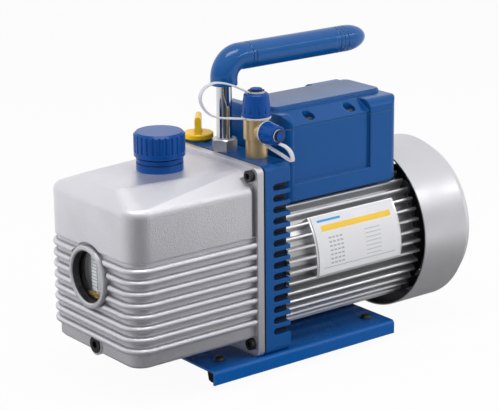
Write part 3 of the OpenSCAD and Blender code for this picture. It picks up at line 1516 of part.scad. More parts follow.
module ballast_knob() {
  z0 = bracket_top + 1.3;
  tab_w = 1.7 * knob_r;
  edge = 0.8;
  color([0.95, 0.75, 0.1]) place() translate([ballast_x, ballast_y, z0]) difference() {
    union() {
      rotate_extrude() polygon([[0, 0], [knob_r - edge, 0], [knob_r, edge], [knob_r, knob_t - edge],
        [knob_r - edge, knob_t], [0, knob_t]]);
      rotate([0, 0, tab_turn]) translate([-tab_w / 2, -tab_t / 2, knob_t - over])
        cube([tab_w, tab_t, tab_h + over - tab_t / 2]);
      rotate([0, 0, tab_turn]) rod_x(-tab_w / 2, tab_w / 2, tab_t / 2, 0, knob_t + tab_h - tab_t / 2);
    }
    rod_z(-over, stem_h - 1, stem_r + run);
  }
}

base_plate();
rubber_feet();
foot_screws();
bracket();
bracket_bolts();
flange_plate();
tank_gasket();
oil_tank();
tank_screws();
sight_bezel();
sight_glass();
sight_seal();
oil_level_plate();
drain_plug();
drain_seal();
oil_fill_neck();
oil_cap();
oil_cap_seal();
pump_stator();
pump_rotor();
vanes();
vane_spacer();
pump_rear_plate();
pump_front_plate();
pump_bolts();
discharge_valve();
shaft_seal();
coupling();
motor_housing();
end_shields();
bearings();
motor_shaft();
rotor_core();
stator_core();
windings();
motor_screws();
rating_plate();
fan();
fan_cover();
cover_standoffs();
cover_screws();
terminal_box();
box_cover();
box_screws();
capacitor();
switch_frame();
rocker();
power_inlet();
handle_grip();
handle_post();
handle_nut();
inlet_fitting();
top_cap();
top_cap_ring();
top_tether();
side_cap();
side_cap_ring();
side_tether();
ballast_body();
ballast_knob();
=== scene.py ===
"""Looks of a portable rotary vane vacuum pump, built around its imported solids.

Metres, +Z up, +X along the shaft from the oil tank to the fan, -Y the side with the rating plate.
"""

import logging
import math
from dataclasses import dataclass
from enum import Enum
from functools import cache
from typing import Sequence

import bpy
import numpy as np
from mathutils import Matrix, Vector


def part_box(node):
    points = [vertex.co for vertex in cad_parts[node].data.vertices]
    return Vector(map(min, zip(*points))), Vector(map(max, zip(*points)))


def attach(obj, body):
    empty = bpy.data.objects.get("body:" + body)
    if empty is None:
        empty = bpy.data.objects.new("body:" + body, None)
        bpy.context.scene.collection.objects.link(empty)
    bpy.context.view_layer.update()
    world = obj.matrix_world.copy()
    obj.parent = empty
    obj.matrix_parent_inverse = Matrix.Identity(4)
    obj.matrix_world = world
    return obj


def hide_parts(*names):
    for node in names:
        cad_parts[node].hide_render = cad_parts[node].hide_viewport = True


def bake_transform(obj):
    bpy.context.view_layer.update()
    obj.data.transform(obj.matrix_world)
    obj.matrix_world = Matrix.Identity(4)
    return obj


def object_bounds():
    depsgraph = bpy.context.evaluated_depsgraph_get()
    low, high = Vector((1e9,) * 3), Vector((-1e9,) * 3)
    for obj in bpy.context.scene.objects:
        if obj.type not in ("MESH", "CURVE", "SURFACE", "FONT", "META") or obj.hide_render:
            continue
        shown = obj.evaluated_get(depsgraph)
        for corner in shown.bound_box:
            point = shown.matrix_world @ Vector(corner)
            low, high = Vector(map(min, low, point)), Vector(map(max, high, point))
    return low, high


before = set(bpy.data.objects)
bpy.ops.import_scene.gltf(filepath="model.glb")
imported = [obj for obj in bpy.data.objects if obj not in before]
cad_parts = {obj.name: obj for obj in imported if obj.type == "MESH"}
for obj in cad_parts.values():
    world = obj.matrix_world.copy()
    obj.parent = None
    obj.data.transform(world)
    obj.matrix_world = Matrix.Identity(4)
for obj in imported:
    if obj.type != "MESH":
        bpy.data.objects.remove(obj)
CAD_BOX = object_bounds()

LOG = logging.getLogger("vacuum_pump")
MM = 0.001
Colour = tuple[float, float, float]
Point = tuple[float, float, float]
Span = tuple[float, float]
Socket = bpy.types.NodeSocket
Mesh = tuple[np.ndarray, Sequence]
WHITE: Colour = (1.0, 1.0, 1.0)


class Grain(Enum):
    """Fine relief of a surface, by how its noise is stretched along X, Y and Z."""

    EVEN = (1.0, 1.0, 1.0)
    ALONG_SHAFT = (0.02, 1.0, 1.0)
    UPRIGHT = (1.0, 1.0, 0.03)


class Wiring:
    """Adds nodes to one shader tree and links them.

    A Mix node has sockets for other kinds too, so those for its share and colours go by number.
    """

    MIX_INPUTS = (0, 6, 7)
    MIX_OUTPUT = 2

    def __init__(self, tree: bpy.types.NodeTree) -> None:
        """Keeps the tree and clears what it holds."""
        self.tree = tree
        tree.nodes.clear()

    def add(self, kind: str, inputs: dict | None = None, **settings: object) -> bpy.types.Node:
        """Makes a node.

        Args:
            kind: Blender's name of the node type, without its ShaderNode prefix.
            inputs: Values or output sockets for its inputs, by name or number.
            settings: Values for its own properties, which are set first.

        Returns:
            The new node.
        """
        prefix = "" if kind.startswith("Node") else "ShaderNode"
        node = self.tree.nodes.new(prefix + kind)
        for key, value in settings.items():
            setattr(node, key, value)
        for key, value in (inputs or {}).items():
            self.feed(node.inputs[key], value)
        return node

    def feed(self, socket: Socket, value: object) -> None:
        """Links an output socket to an input, or sets the input to a value.

        Args:
            socket: The input.
            value: An output socket, a number, a colour or a vector.
        """
        if isinstance(value, Socket):
            self.tree.links.new(value, socket)
        elif socket.type == "RGBA":
            socket.default_value = (*value, 1.0)
        else:
            socket.default_value = value

    def math(self, operation: str, *values: object) -> Socket:
        """Works out a value with a Math node.

        Args:
            operation: Blender's name of the operation.
            values: Numbers or sockets.

        Returns:
            The result.
        """
        node = self.add("Math", operation=operation)
        for socket, value in zip(node.inputs, values):
            self.feed(socket, value)
        return node.outputs[0]

    def times(self, first: object, second: object) -> Socket:
        """Gives the product of two values, which for two masks is where both hold."""
        return self.math("MULTIPLY", first, second)

    def between(self, value: object, low: float, high: float) -> Socket:
        """Gives a mask that is 1 where the value lies between two limits."""
        return self.times(self.math("GREATER_THAN", value, low), self.math("LESS_THAN", value, high))

    def ramp(self, value: object, start: Span = (0.0, 1.0), end: Span = (0.0, 1.0)) -> Socket:
        """Gives a value mapped evenly from one span to another, and held at its ends."""
        limits = dict(zip(("From Min", "From Max", "To Min", "To Max"), (*start, *end)))
        return self.add("MapRange", {"Value": value, **limits}).outputs[0]

    def mix(self, share: object, first: object, second: object) -> Socket:
        """Mixes two colours.

        Args:
            share: 0 for the first colour, 1 for the second.
            first: A colour or socket.
            second: A colour or socket.

        Returns:
            The mixed colour.
        """
        node = self.add("Mix", data_type="RGBA")
        for number, value in zip(self.MIX_INPUTS, (share, first, second)):
            self.feed(node.inputs[number], value)
        return node.outputs[self.MIX_OUTPUT]

    def place(self) -> tuple[Socket, Socket, Socket]:
        """Gives the place on the object along X, Y and Z."""
        return tuple(self.add("SeparateXYZ", {0: self.add("TexCoord").outputs["Object"]}).outputs)

    def from_axis(self, height: float) -> Socket:
        """Works out the distance from a line along X, the root of y squared plus rise squared.

        Args:
            height: Height of the line.

        Returns:
            The distance.
        """
        _, y, z = self.place()
        rise = self.math("SUBTRACT", z, height)
        return self.math("SQRT", self.math("ADD", self.times(y, y), self.times(rise, rise)))


class Effects:
    """Shader groups that several finishes use, each built once."""

    EDGE_SAMPLES = 6
    EDGE_TURN: Span = (0.02, 0.16)
    RECESS_SAMPLES = 8
    RECESS_OPEN: Span = (0.62, 0.35)
    FINE_DETAIL = 3.0
    BROAD_DETAIL = 4.0
    STAIN_SPREAD: Span = (0.35, 0.65)

    @staticmethod
    def group(name: str, inputs: dict[str, str], outputs: dict[str, str]) -> tuple:
        """Starts a group.

        Args:
            name: Name of the group.
            inputs: Kinds of its inputs by name, such as Float.
            outputs: Kinds of its outputs by name.

        Returns:
            The tree, its wiring, its input node and its output node.
        """
        tree = bpy.data.node_groups.new(name, "ShaderNodeTree")
        for side, sockets in (("INPUT", inputs), ("OUTPUT", outputs)):
            for key, kind in sockets.items():
                tree.interface.new_socket(key, in_out=side, socket_type=f"NodeSocket{kind}")
        wiring = Wiring(tree)
        return tree, wiring, wiring.add("NodeGroupInput"), wiring.add("NodeGroupOutput")

    @classmethod
    @cache
    def softened_edges(cls) -> bpy.types.NodeTree:
        """Rounds the normals over edges, and marks the edges by how far that turns a normal.

        Returns:
            The group, from a radius to a normal and an edge mask.
        """
        tree, w, entry, leave = cls.group(
            "softened_edges", {"Radius": "Float"}, {"Normal": "Vector", "Edge": "Float"})
        bevel = w.add("Bevel", {"Radius": entry.outputs["Radius"]}, samples=cls.EDGE_SAMPLES)
        true_normal = w.add("NewGeometry").outputs["True Normal"]
        along = w.add("VectorMath", {0: bevel.outputs[0], 1: true_normal}, operation="DOT_PRODUCT")
        turned = w.math("SUBTRACT", 1.0, along.outputs["Value"])
        w.feed(leave.inputs["Normal"], bevel.outputs[0])
        w.feed(leave.inputs["Edge"], w.ramp(turned, cls.EDGE_TURN))
        return tree

    @classmethod
    @cache
    def recesses(cls) -> bpy.types.NodeTree:
        """Marks what lies deep between a piece's own walls, where finishes paint shade.

        Returns:
            The group, from a reach to a mask for painted shade.
        """
        tree, w, entry, leave = cls.group("recesses", {"Reach": "Float"}, {"Recess": "Float"})
        share = w.add("AmbientOcclusion", {"Distance": entry.outputs["Reach"]},
                      samples=cls.RECESS_SAMPLES, only_local=True)
        w.feed(leave.inputs["Recess"], w.ramp(share.outputs["AO"], cls.RECESS_OPEN))
        return tree

    @classmethod
    @cache
    def relief(cls) -> bpy.types.NodeTree:
        """Makes a fine noise for relief, and a broad one for stains and uneven gloss.

        Returns:
            The group, from a stretch and two finenesses to a height and a stain mask.
        """
        tree, w, entry, leave = cls.group(
            "relief",
            {"Stretch": "Vector", "Fine": "Float", "Broad": "Float"},
            {"Height": "Float", "Stain": "Float"},
        )
        place = w.add("TexCoord").outputs["Object"]
        stretched = w.add("VectorMath", {0: place, 1: entry.outputs["Stretch"]}, operation="MULTIPLY")
        fine = w.add("TexNoise", {"Vector": stretched.outputs[0], "Scale": entry.outputs["Fine"],
                                  "Detail": cls.FINE_DETAIL})
        broad = w.add("TexNoise", {"Vector": place, "Scale": entry.outputs["Broad"],
                                   "Detail": cls.BROAD_DETAIL})
        w.feed(leave.inputs["Height"], fine.outputs["Fac"])
        w.feed(leave.inputs["Stain"], w.ramp(broad.outputs["Fac"], cls.STAIN_SPREAD))
        return tree


def toned(colour: Colour, share: float) -> Colour:
    """Gives a colour at a share of its brightness."""
    return tuple(share * part for part in colour)


def paint(thing: bpy.types.Object, material: bpy.types.Material) -> None:
    """Puts one material in every slot of an object.

    Args:
        thing: The object, which gets a slot if it has none.
        material: The material.
    """
    if not thing.material_slots:
        thing.data.materials.append(material)
    for slot in thing.material_slots:
        slot.material = material


@dataclass(frozen=True)
class Coating:
    """What covers a piece: a named material with a shader of its own."""

    name: str
    colour: Colour

    def shader(self, w: Wiring) -> Socket:
        """Builds the shader in a material's tree and gives its output."""
        raise NotImplementedError

    @cache
    def material(self) -> bpy.types.Material:
        """Makes the material on first use.

        Returns:
            The material.
        """
        made = bpy.data.materials.new(f"{self.name}_finish")
        made.use_nodes = True
        w = Wiring(made.node_tree)
        w.add("OutputMaterial", {"Surface": self.shader(w)})
        return made

    def on(self, *nodes: str) -> None:
        """Puts the coating on CAD nodes."""
        for node in nodes:
            paint(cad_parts[node], self.material())


@dataclass(frozen=True)
class Finish(Coating):
    """One finish: its colour, gloss, softened edges, painted shade in recesses and fine relief.

    The relief's depth is in metres, its fineness and the stains' breadth in features per metre.
    Stained places and the painted shade in recesses have a share of the colour's brightness. Edges are
    lighter, partly by wear and partly by painted highlight.
    """

    roughness: float = 0.4
    metallic: float = 0.0
    specular: float = 0.5
    edge: float = 0.5 * MM
    # Lighter edges: partly wear, partly painted highlight.
    wear_and_highlight: float = 0.12
    wear_and_highlight_colour: Colour = (0.9, 0.9, 0.92)
    grain: Grain = Grain.EVEN
    fineness: float = 1500.0
    depth: float = 0.02 * MM
    breadth: float = 24.0
    stain: float = 0.06
    stain_tone: float = 0.45
    uneven: float = 0.08
    coat: float = 0.0
    # Painted shade in recesses: its share, its tone and how far it looks for walls.
    recess_shade: float = 0.0
    recess_shade_tone: float = 0.08
    recess_shade_reach: float = 8 * MM

    def pattern(self, w: Wiring, base: Colour) -> Colour | Socket:
        """Gives the colour before stains and wear; plain finishes keep the base colour."""
        return base

    def shader(self, w: Wiring) -> Socket:
        """Builds the shader: pattern, stains, painted shade, lighter edges, then uneven gloss and relief.

        Args:
            w: Wiring of the material.

        Returns:
            The shader's output.
        """
        made = w.add("BsdfPrincipled", {"Metallic": self.metallic, "Specular IOR Level": self.specular,
                                        "Coat Weight": self.coat})
        edges = w.add("Group", {"Radius": self.edge}, node_tree=Effects.softened_edges())
        relief = w.add("Group", {"Stretch": self.grain.value, "Fine": self.fineness, "Broad": self.breadth},
                       node_tree=Effects.relief())
        stain = relief.outputs["Stain"]
        tone = w.mix(w.times(stain, self.stain), self.pattern(w, self.colour),
                     toned(self.colour, self.stain_tone))
        # Painted shade: darkens the colour deep between the piece's own walls.
        if self.recess_shade > 0:
            recess = w.add("Group", {"Reach": self.recess_shade_reach}, node_tree=Effects.recesses())
            tone = w.mix(w.times(recess.outputs["Recess"], self.recess_shade), tone,
                         toned(self.colour, self.recess_shade_tone))
        # Lighter edges: partly wear, partly painted highlight.
        worn_and_highlit = w.mix(w.times(edges.outputs["Edge"], self.wear_and_highlight), tone, self.wear_and_highlight_colour)
        w.feed(made.inputs["Base Color"], worn_and_highlit)
        gloss = (self.roughness - self.uneven, self.roughness + self.uneven)
        w.feed(made.inputs["Roughness"], w.ramp(stain, end=gloss))
        bump = w.add("Bump", {"Strength": 1.0, "Distance": self.depth, "Normal": edges.outputs["Normal"],
                              "Height": relief.outputs["Height"]})
        w.feed(made.inputs["Normal"], bump.outputs[0])
        return made.outputs[0]


@dataclass(frozen=True)
class ClearFinish(Coating):
    """Glass: light passes through, tinted by its colour, a little duller in places."""

    ior: float = 1.45
    roughness: float = 0.02
    dull: float = 2.5
    dull_tone: float = 0.93
    fineness: float = 900.0
    breadth: float = 60.0

    def shader(self, w: Wiring) -> Socket:
        """Builds the shader.

        Args:
            w: Wiring of the material.

        Returns:
            The shader's output.
        """
        made = w.add("BsdfPrincipled", {"IOR": self.ior, "Transmission Weight": 1.0})
        relief = w.add("Group", {"Stretch": Grain.EVEN.value, "Fine": self.fineness, "Broad": self.breadth},
                       node_tree=Effects.relief())
        stain = relief.outputs["Stain"]
        w.feed(made.inputs["Base Color"], w.mix(stain, self.colour, toned(self.colour, self.dull_tone)))
        gloss = (self.roughness, self.dull * self.roughness)
        w.feed(made.inputs["Roughness"], w.ramp(stain, end=gloss))
        return made.outputs[0]


@dataclass(frozen=True)
class PrintedFilm(Finish):
    """White rating film wrapped round the motor, with a blue bar, a yellow band and blank rows.

    Spans are shares of the film's length along the shaft, of its height round it, or of one row.
    """

    band: Colour = (0.95, 0.60, 0.025)
    bar: Colour = (0.01, 0.34, 0.76)
    ink: Colour = (0.30, 0.31, 0.35)
    ink_share: float = 0.75
    start: float = 0.0
    length: float = 84 * MM
    axis_height: float = 78 * MM
    low_angle: float = 0.0
    sweep: float = math.radians(44)
    band_along: Span = (0.083, 0.935)
    band_up: Span = (0.727, 0.83)
    bar_along: Span = (0.06, 0.34)
    bar_up: Span = (0.89, 0.93)
    foot_along: Span = (0.06, 0.94)
    foot_up: Span = (0.105, 0.118)
    rows: float = 14.0
    rows_up: Span = (0.15, 0.64)
    dash_along: Span = (0.14, 0.31)
    dash_in_row: Span = (0.28, 0.68)
    dash_pitch: float = 0.045
    dash_share: float = 0.72
    rule_along: Span = (0.58, 0.77)
    rule_in_row: Span = (0.40, 0.56)

    def pattern(self, w: Wiring, base: Colour) -> Socket:
        """Prints the film by place along the shaft and by angle round it.

        Args:
            w: Wiring of the material.
            base: Colour of the film.

        Returns:
            The printed colour.
        """
        x, y, z = w.place()
        along = w.math("DIVIDE", w.math("SUBTRACT", x, self.start), self.length)
        angle = w.math("ARCTAN2", w.math("SUBTRACT", z, self.axis_height), w.times(y, -1.0))
        up = w.math("DIVIDE", w.math("SUBTRACT", angle, self.low_angle), self.sweep)
        band = w.times(w.between(along, *self.band_along), w.between(up, *self.band_up))
        bar = w.times(w.between(along, *self.bar_along), w.between(up, *self.bar_up))
        foot = w.times(w.between(along, *self.foot_along), w.between(up, *self.foot_up))
        in_row = w.math("FRACT", w.times(up, self.rows))
        steps = w.math("DIVIDE", w.math("SUBTRACT", along, self.dash_along[0]), self.dash_pitch)
        dash = w.between(w.math("FRACT", steps), 0.0, self.dash_share)
        dash_row = w.times(w.between(in_row, *self.dash_in_row), w.between(along, *self.dash_along))
        rule_row = w.times(w.between(in_row, *self.rule_in_row), w.between(along, *self.rule_along))
        row = w.math("ADD", w.times(dash, dash_row), rule_row)
        printed = w.math("ADD", w.times(row, w.between(up, *self.rows_up)), foot)
        inked = w.mix(w.math("MINIMUM", printed, self.ink_share), base, self.ink)
        return w.mix(band, w.mix(bar, inked, self.bar), self.band)


@dataclass(frozen=True)
class LevelScale(Finish):
    """Level card behind the sight glass: grey, with a pale strip of marks along its free edge."""

    strip: Colour = (0.72, 0.72, 0.74)
    mark: Colour = (0.16, 0.17, 0.2)
    middle: float = 90 * MM
    half_height: float = 13 * MM
    strip_from: float = 4 * MM
    strip_to: float = 12 * MM
    pitch: float = 2.6 * MM
    mark_in_step: Span = (0.36, 0.62)

    def pattern(self, w: Wiring, base: Colour) -> Socket:
        """Prints the strip by place across the card, and its marks by height.

        Args:
            w: Wiring of the material.
            base: Colour of the card.

        Returns:
            The printed colour.
        """
        _, y, z = w.place()
        up = w.math("SUBTRACT", z, self.middle)
        step = w.math("FRACT", w.math("DIVIDE", up, self.pitch))
        strip = w.between(y, self.strip_from, self.strip_to)
        inside_shade = w.times(w.between(up, -self.half_height, self.half_height), strip)
        marks = w.times(w.between(step, *self.mark_in_step), inside_shade)
        return w.mix(marks, w.mix(strip, base, self.strip), self.mark)


@dataclass(frozen=True)
class CastTank(Finish):
    """Silver paint on the cast tank, a little darker on the rim; painted shade in the sight glass's well."""

    rim_from: float = 0.0
    rim_tone: float = 0.94
    well_height: float = 90 * MM
    well_radius: float = 20 * MM
    well_to: float = -150 * MM
    # Painted shade inside the sight glass's well.
    well_shade: Colour = (0.012, 0.012, 0.013)

    def pattern(self, w: Wiring, base: Colour) -> Socket:
        """Darkens the rim by place along the tank, and paints shade in the well by distance from its axis.

        Args:
            w: Wiring of the material.
            base: Colour of the paint.

        Returns:
            The colour.
        """
        x, _, _ = w.place()
        rim = w.math("GREATER_THAN", x, self.rim_from)
        within = w.math("LESS_THAN", w.from_axis(self.well_height), self.well_radius)
        well = w.times(within, w.math("LESS_THAN", x, self.well_to))
        return w.mix(well, w.mix(rim, base, toned(base, self.rim_tone)), self.well_shade)


@dataclass(frozen=True)
class HollowBracket(Finish):
    """Blue paint on the bracket, with painted shade in its hollow behind the slots."""

    # Painted shade in the hollow behind the slots.
    inside_shade: Colour = (0.002, 0.006, 0.016)
    half_width: float = 60 * MM
    wall: float = 5 * MM
    fade_share: float = 0.3
    under: float = 150 * MM

    def pattern(self, w: Wiring, base: Colour) -> Socket:
        """Paints shade on what lies deeper than a share of the side wall, below the top one.

        Args:
            w: Wiring of the material.
            base: Colour of the paint.

        Returns:
            The colour.
        """
        _, y, z = w.place()
        depth = w.math("SUBTRACT", self.half_width, w.math("ABSOLUTE", y))
        deep = w.ramp(depth, (self.fade_share * self.wall, self.wall))
        return w.mix(w.times(deep, w.math("LESS_THAN", z, self.under)), base, self.inside_shade)


@dataclass(frozen=True)
class DarkBore(Finish):
    """Metal round an axis along X, with painted shade inside."""

    # Painted shade on the inner walls.
    inside_shade: Colour = (0.006, 0.006, 0.007)
    axis_height: float = 78 * MM
    inner_radius: float = 68 * MM
    rear: float = 160 * MM

    def pattern(self, w: Wiring, base: Colour) -> Socket:
        """Paints shade on what lies nearer the axis than the wall, in front of the rear.

        Args:
            w: Wiring of the material.
            base: Colour of the metal.

        Returns:
            The colour.
        """
        x, _, _ = w.place()
        within = w.math("LESS_THAN", w.from_axis(self.axis_height), self.inner_radius)
        return w.mix(w.times(within, w.math("LESS_THAN", x, self.rear)), base, self.inside_shade)


@dataclass(frozen=True)
class CapRing(Finish):
    """Tether ring round a cap's button, its outer face darkened."""

    face: Colour = (0.02, 0.02, 0.022)
    axis: int = 2
    outward: float = 1.0
    face_at: float = 200 * MM

    def pattern(self, w: Wiring, base: Colour) -> Socket:
        """Darkens what lies beyond a place along the ring's axis."""
        along = w.times(w.place()[self.axis], self.outward)
        return w.mix(w.math("GREATER_THAN", along, self.outward * self.face_at), base, self.face)


BLUE: Colour = (0.002, 0.086, 0.315)
# Light blue painted highlight for the edges of blue paint and plastic.
HIGHLIGHT_BLUE: Colour = (0.25, 0.45, 0.75)
# The tray's light blue edge colour is painted highlight.
PAINTED_BLUE = Finish(
    "painted_blue", (0.002, 0.105, 0.40), roughness=0.22, specular=0.3, edge=0.9 * MM, wear_and_highlight=0.5,
    wear_and_highlight_colour=(0.28, 0.50, 0.82), fineness=900, depth=0.03 * MM)
BOX_PLASTIC = Finish(
    "box_plastic", BLUE, roughness=0.2, specular=0.22, edge=2.0 * MM, wear_and_highlight=0.10, wear_and_highlight_colour=HIGHLIGHT_BLUE,
    fineness=2200, depth=0.008 * MM, uneven=0.05)
GRIP_PLASTIC = Finish(
    "grip_plastic", (0.002, 0.098, 0.345), roughness=0.1, specular=0.4, edge=0.6 * MM, wear_and_highlight=0.2,
    wear_and_highlight_colour=HIGHLIGHT_BLUE, fineness=2200, depth=0.008 * MM, uneven=0.05)
# Painted shade darkens the grooves of the caps' knurls.
BLUE_CAP = Finish(
    "blue_cap", (0.002, 0.073, 0.335), roughness=0.22, specular=0.2, edge=0.5 * MM, wear_and_highlight=0.12,
    wear_and_highlight_colour=HIGHLIGHT_BLUE, fineness=2600, depth=0.01 * MM, recess_shade=0.6, recess_shade_reach=3 * MM)
FLANGE_GREY = Finish(
    "flange_grey", (0.52, 0.51, 0.55), roughness=0.46, metallic=0.4, edge=0.5 * MM, fineness=1200,
    depth=0.03 * MM)
# Painted shade darkens the valleys between the motor's fins.
MOTOR_ALUMINIUM = Finish(
    "motor_aluminium", (0.80, 0.80, 0.82), roughness=0.35, metallic=0.88, edge=0.35 * MM, wear_and_highlight=0.3,
    grain=Grain.ALONG_SHAFT, fineness=1800, depth=0.003 * MM, stain=0.04, uneven=0.05, recess_shade=0.34,
    recess_shade_reach=10 * MM)
# Black end shields stand in for the shade in the gap under the fan cover.
SHIELD_SHADE_BLACK = Finish(
    "shield_shade_black", (0.012, 0.012, 0.013), roughness=0.6, edge=0.5 * MM, wear_and_highlight=0.05, fineness=900,
    depth=0.04 * MM)
BLACK_STEEL = Finish(
    "black_steel", (0.012, 0.012, 0.014), roughness=0.36, edge=0.3 * MM, wear_and_highlight=0.10,
    wear_and_highlight_colour=(0.35, 0.35, 0.37))
ZINC_STEEL = Finish(
    "zinc_steel", (0.60, 0.60, 0.60), roughness=0.32, metallic=0.9, edge=0.3 * MM, fineness=1800)
CHROME = Finish(
    "chrome", (0.62, 0.63, 0.66), roughness=0.08, metallic=1.0, edge=0.4 * MM, wear_and_highlight=0.0, depth=0.0,
    uneven=0.03, stain=0.03)
BRASS = Finish(
    "brass", (0.70, 0.51, 0.26), roughness=0.36, metallic=0.75, edge=0.4 * MM, wear_and_highlight=0.2,
    wear_and_highlight_colour=(0.8, 0.62, 0.35), grain=Grain.UPRIGHT, fineness=2200, stain=0.25)
RUBBER = Finish(
    "rubber", (0.014, 0.014, 0.014), roughness=0.72, specular=0.3, wear_and_highlight=0.03, fineness=1400, depth=0.05 * MM)
WHITE_PLASTIC = Finish("white_plastic", (0.80, 0.80, 0.78), roughness=0.42)
STRAP_NATURAL = Finish(
    "strap_natural", (0.70, 0.70, 0.76), roughness=0.34, edge=0.2 * MM, wear_and_highlight=0.0, fineness=1200,
    depth=0.01 * MM)
BLACK_PLASTIC = Finish(
    "black_plastic", (0.014, 0.014, 0.015), roughness=0.5, edge=0.4 * MM, wear_and_highlight=0.06, fineness=2600,
    depth=0.04 * MM)
YELLOW_PLASTIC = Finish(
    "yellow_plastic", (1.0, 0.61, 0.003), roughness=0.3, specular=0.3, edge=0.6 * MM,
    wear_and_highlight_colour=(1.0, 0.8, 0.35), fineness=2000, depth=0.01 * MM)
PUMP_IRON = Finish(
    "pump_iron", (0.30, 0.31, 0.32), roughness=0.36, metallic=0.9, grain=Grain.ALONG_SHAFT, stain=0.2)
LAMINATION = Finish(
    "lamination", (0.25, 0.26, 0.28), roughness=0.4, metallic=0.8, grain=Grain.UPRIGHT, stain=0.2)
COPPER = Finish(
    "copper_wire", (0.48, 0.17, 0.06), roughness=0.35, metallic=0.8, grain=Grain.ALONG_SHAFT,
    depth=0.2 * MM, fineness=900)
VANE_COMPOSITE = Finish("vane_composite", (0.05, 0.05, 0.055), roughness=0.55)
CLEAR_GLASS = ClearFinish("clear_glass", (0.96, 0.98, 0.98))
AMBER_OIL = Finish(
    "amber_oil", (0.36, 0.20, 0.03), roughness=0.12, edge=0.3 * MM, wear_and_highlight=0.0, fineness=300, depth=0.0,
    breadth=420, stain=1.3, coat=0.5)


def ring_quads(rows: int, columns: int, closed: bool) -> np.ndarray:
    """Joins the rows of a grid whose columns go round.

    Args:
        rows: Number of rows.
        columns: Points in a row, the last beside the first.
        closed: Whether the last row joins the first.

    Returns:
        Faces as quads of point numbers.
    """
    i, j = np.meshgrid(np.arange(rows if closed else rows - 1), np.arange(columns), indexing="ij")
    down, right = (i + 1) % rows, (j + 1) % columns
    quads = [i * columns + j, down * columns + j, down * columns + right, i * columns + right]
    return np.stack(quads, axis=-1).reshape(-1, 4)


def capped(rows: int, columns: int) -> list:
    """Joins the rows of a grid whose columns go round, and closes its two ends.

    Args:
        rows: Number of rows.
        columns: Points in a row.

    Returns:
        Faces as lists of point numbers.
    """
    first = list(range(columns))
    last = list(range((rows - 1) * columns, rows * columns))
    return ring_quads(rows, columns, closed=False)[:, ::-1].tolist() + [first[::-1], last]


def lathe(outline: np.ndarray, steps: int) -> Mesh:
    """Turns a closed outline of radius and height about Z.

    A point at turn u is (r cos u, r sin u, z) for each (r, z) of the outline.

    Args:
        outline: Outline points, counter-clockwise seen with the axis to the left.
        steps: Steps round the circle.

    Returns:
        Points, and faces as quads of point numbers.
    """
    u = np.linspace(0, 2 * math.pi, steps, endpoint=False)
    x = np.outer(np.cos(u), outline[:, 0])
    y = np.outer(np.sin(u), outline[:, 0])
    z = np.broadcast_to(outline[:, 1], x.shape)
    points = np.stack([x, y, z], axis=-1).reshape(-1, 3)
    return points, ring_quads(steps, len(outline), closed=True)


def rounded_bar(width: float, height: float, soft: float, steps: int = 5) -> np.ndarray:
    """Draws a bar's section centred on the origin: a quarter circle flipped into each corner.

    Args:
        width: Size along the first axis.
        height: Size along the second axis.
        soft: Radius of the corners.
        steps: Points of a corner.

    Returns:
        The outline, counter-clockwise.
    """
    turn = np.linspace(0, math.pi / 2, steps)
    corner = soft * np.stack([np.cos(turn), np.sin(turn)], axis=-1)
    half = np.array([width / 2 - soft, height / 2 - soft])
    flips = [((1, 1), 1), ((-1, 1), -1), ((-1, -1), 1), ((1, -1), -1)]
    return np.concatenate([(corner[::order] + half) * np.array(sign) for sign, order in flips])


def smooth_path(route: np.ndarray, steps: int) -> np.ndarray:
    """Carries a Catmull-Rom curve, a cubic for each stretch from its four nearest points, through a route.

    Args:
        route: Points that the curve passes.
        steps: Points to a stretch.

    Returns:
        Points of the curve.
    """
    ends = np.concatenate([route[:1], route, route[-1:]])
    a, b, c, d = (ends[k:len(ends) - 3 + k, None] for k in range(4))
    t = (np.arange(steps) / steps)[None, :, None]
    curve = 0.5 * (2 * b + (c - a) * t + (2 * a - 5 * b + 4 * c - d) * t**2 + (3 * b - a - 3 * c + d) * t**3)
    return np.concatenate([curve.reshape(-1, 3), route[-1:]])


def swept(path: np.ndarray, section: np.ndarray, wide: Point) -> Mesh:
    """Carries a section along a path, its first axis kept along a given direction.

    A point is path + s0 * flat + s1 * thick, where flat is the given direction made square to the path
    and thick is square to both.

    Args:
        path: Points of the path.
        section: Closed outline, counter-clockwise.
        wide: Direction of the section's first axis.

    Returns:
        Points and faces, with an end face at each end.
    """
    along = np.gradient(path, axis=0)
    along /= np.linalg.norm(along, axis=1, keepdims=True)
    flat = np.asarray(wide) - along * (along @ np.asarray(wide))[:, None]
    flat /= np.linalg.norm(flat, axis=1, keepdims=True)
    thick = np.cross(along, flat)
    grid = path[:, None] + section[None, :, :1] * flat[:, None] + section[None, :, 1:] * thick[:, None]
    return grid.reshape(-1, 3), capped(len(path), len(section))


def joined(*parts: Mesh) -> Mesh:
    """Puts several meshes into one.

    Args:
        parts: Points and faces of each.

    Returns:
        All points, and all faces with their point numbers moved on.
    """
    starts = np.cumsum([0] + [len(points) for points, _ in parts])
    faces = [[start + k for k in face] for start, (_, some) in zip(starts, parts) for face in some]
    return np.concatenate([points for points, _ in parts]), faces


def placed(name: str, data: bpy.types.ID) -> bpy.types.Object:
    """Makes an object in the scene.

    Args:
        name: Its name.
        data: Its mesh, camera or lamp.

    Returns:
        The object, at the origin.
    """
    made = bpy.data.objects.new(name, data)
    bpy.context.scene.collection.objects.link(made)
    return made


def piece(name: str, points: np.ndarray, faces: Sequence, coating: Coating) -> bpy.types.Object:
    """Makes a smooth-shaded mesh object at the origin and coats it.

    Args:
        name: Name of the piece.
        points: Its points, in the frame's metres.
        faces: Its faces, as lists of point numbers.
        coating: Its finish.

    Returns:
        The object, not yet riding on a body.
    """
    mesh = bpy.data.meshes.new(name)
    mesh.from_pydata(points.tolist(), [], [list(map(int, face)) for face in faces])
    mesh.validate()
    mesh.shade_smooth()
    made = placed(name, mesh)
    paint(made, coating.material())
    LOG.info("%s: %d faces", name, len(mesh.polygons))
    return made


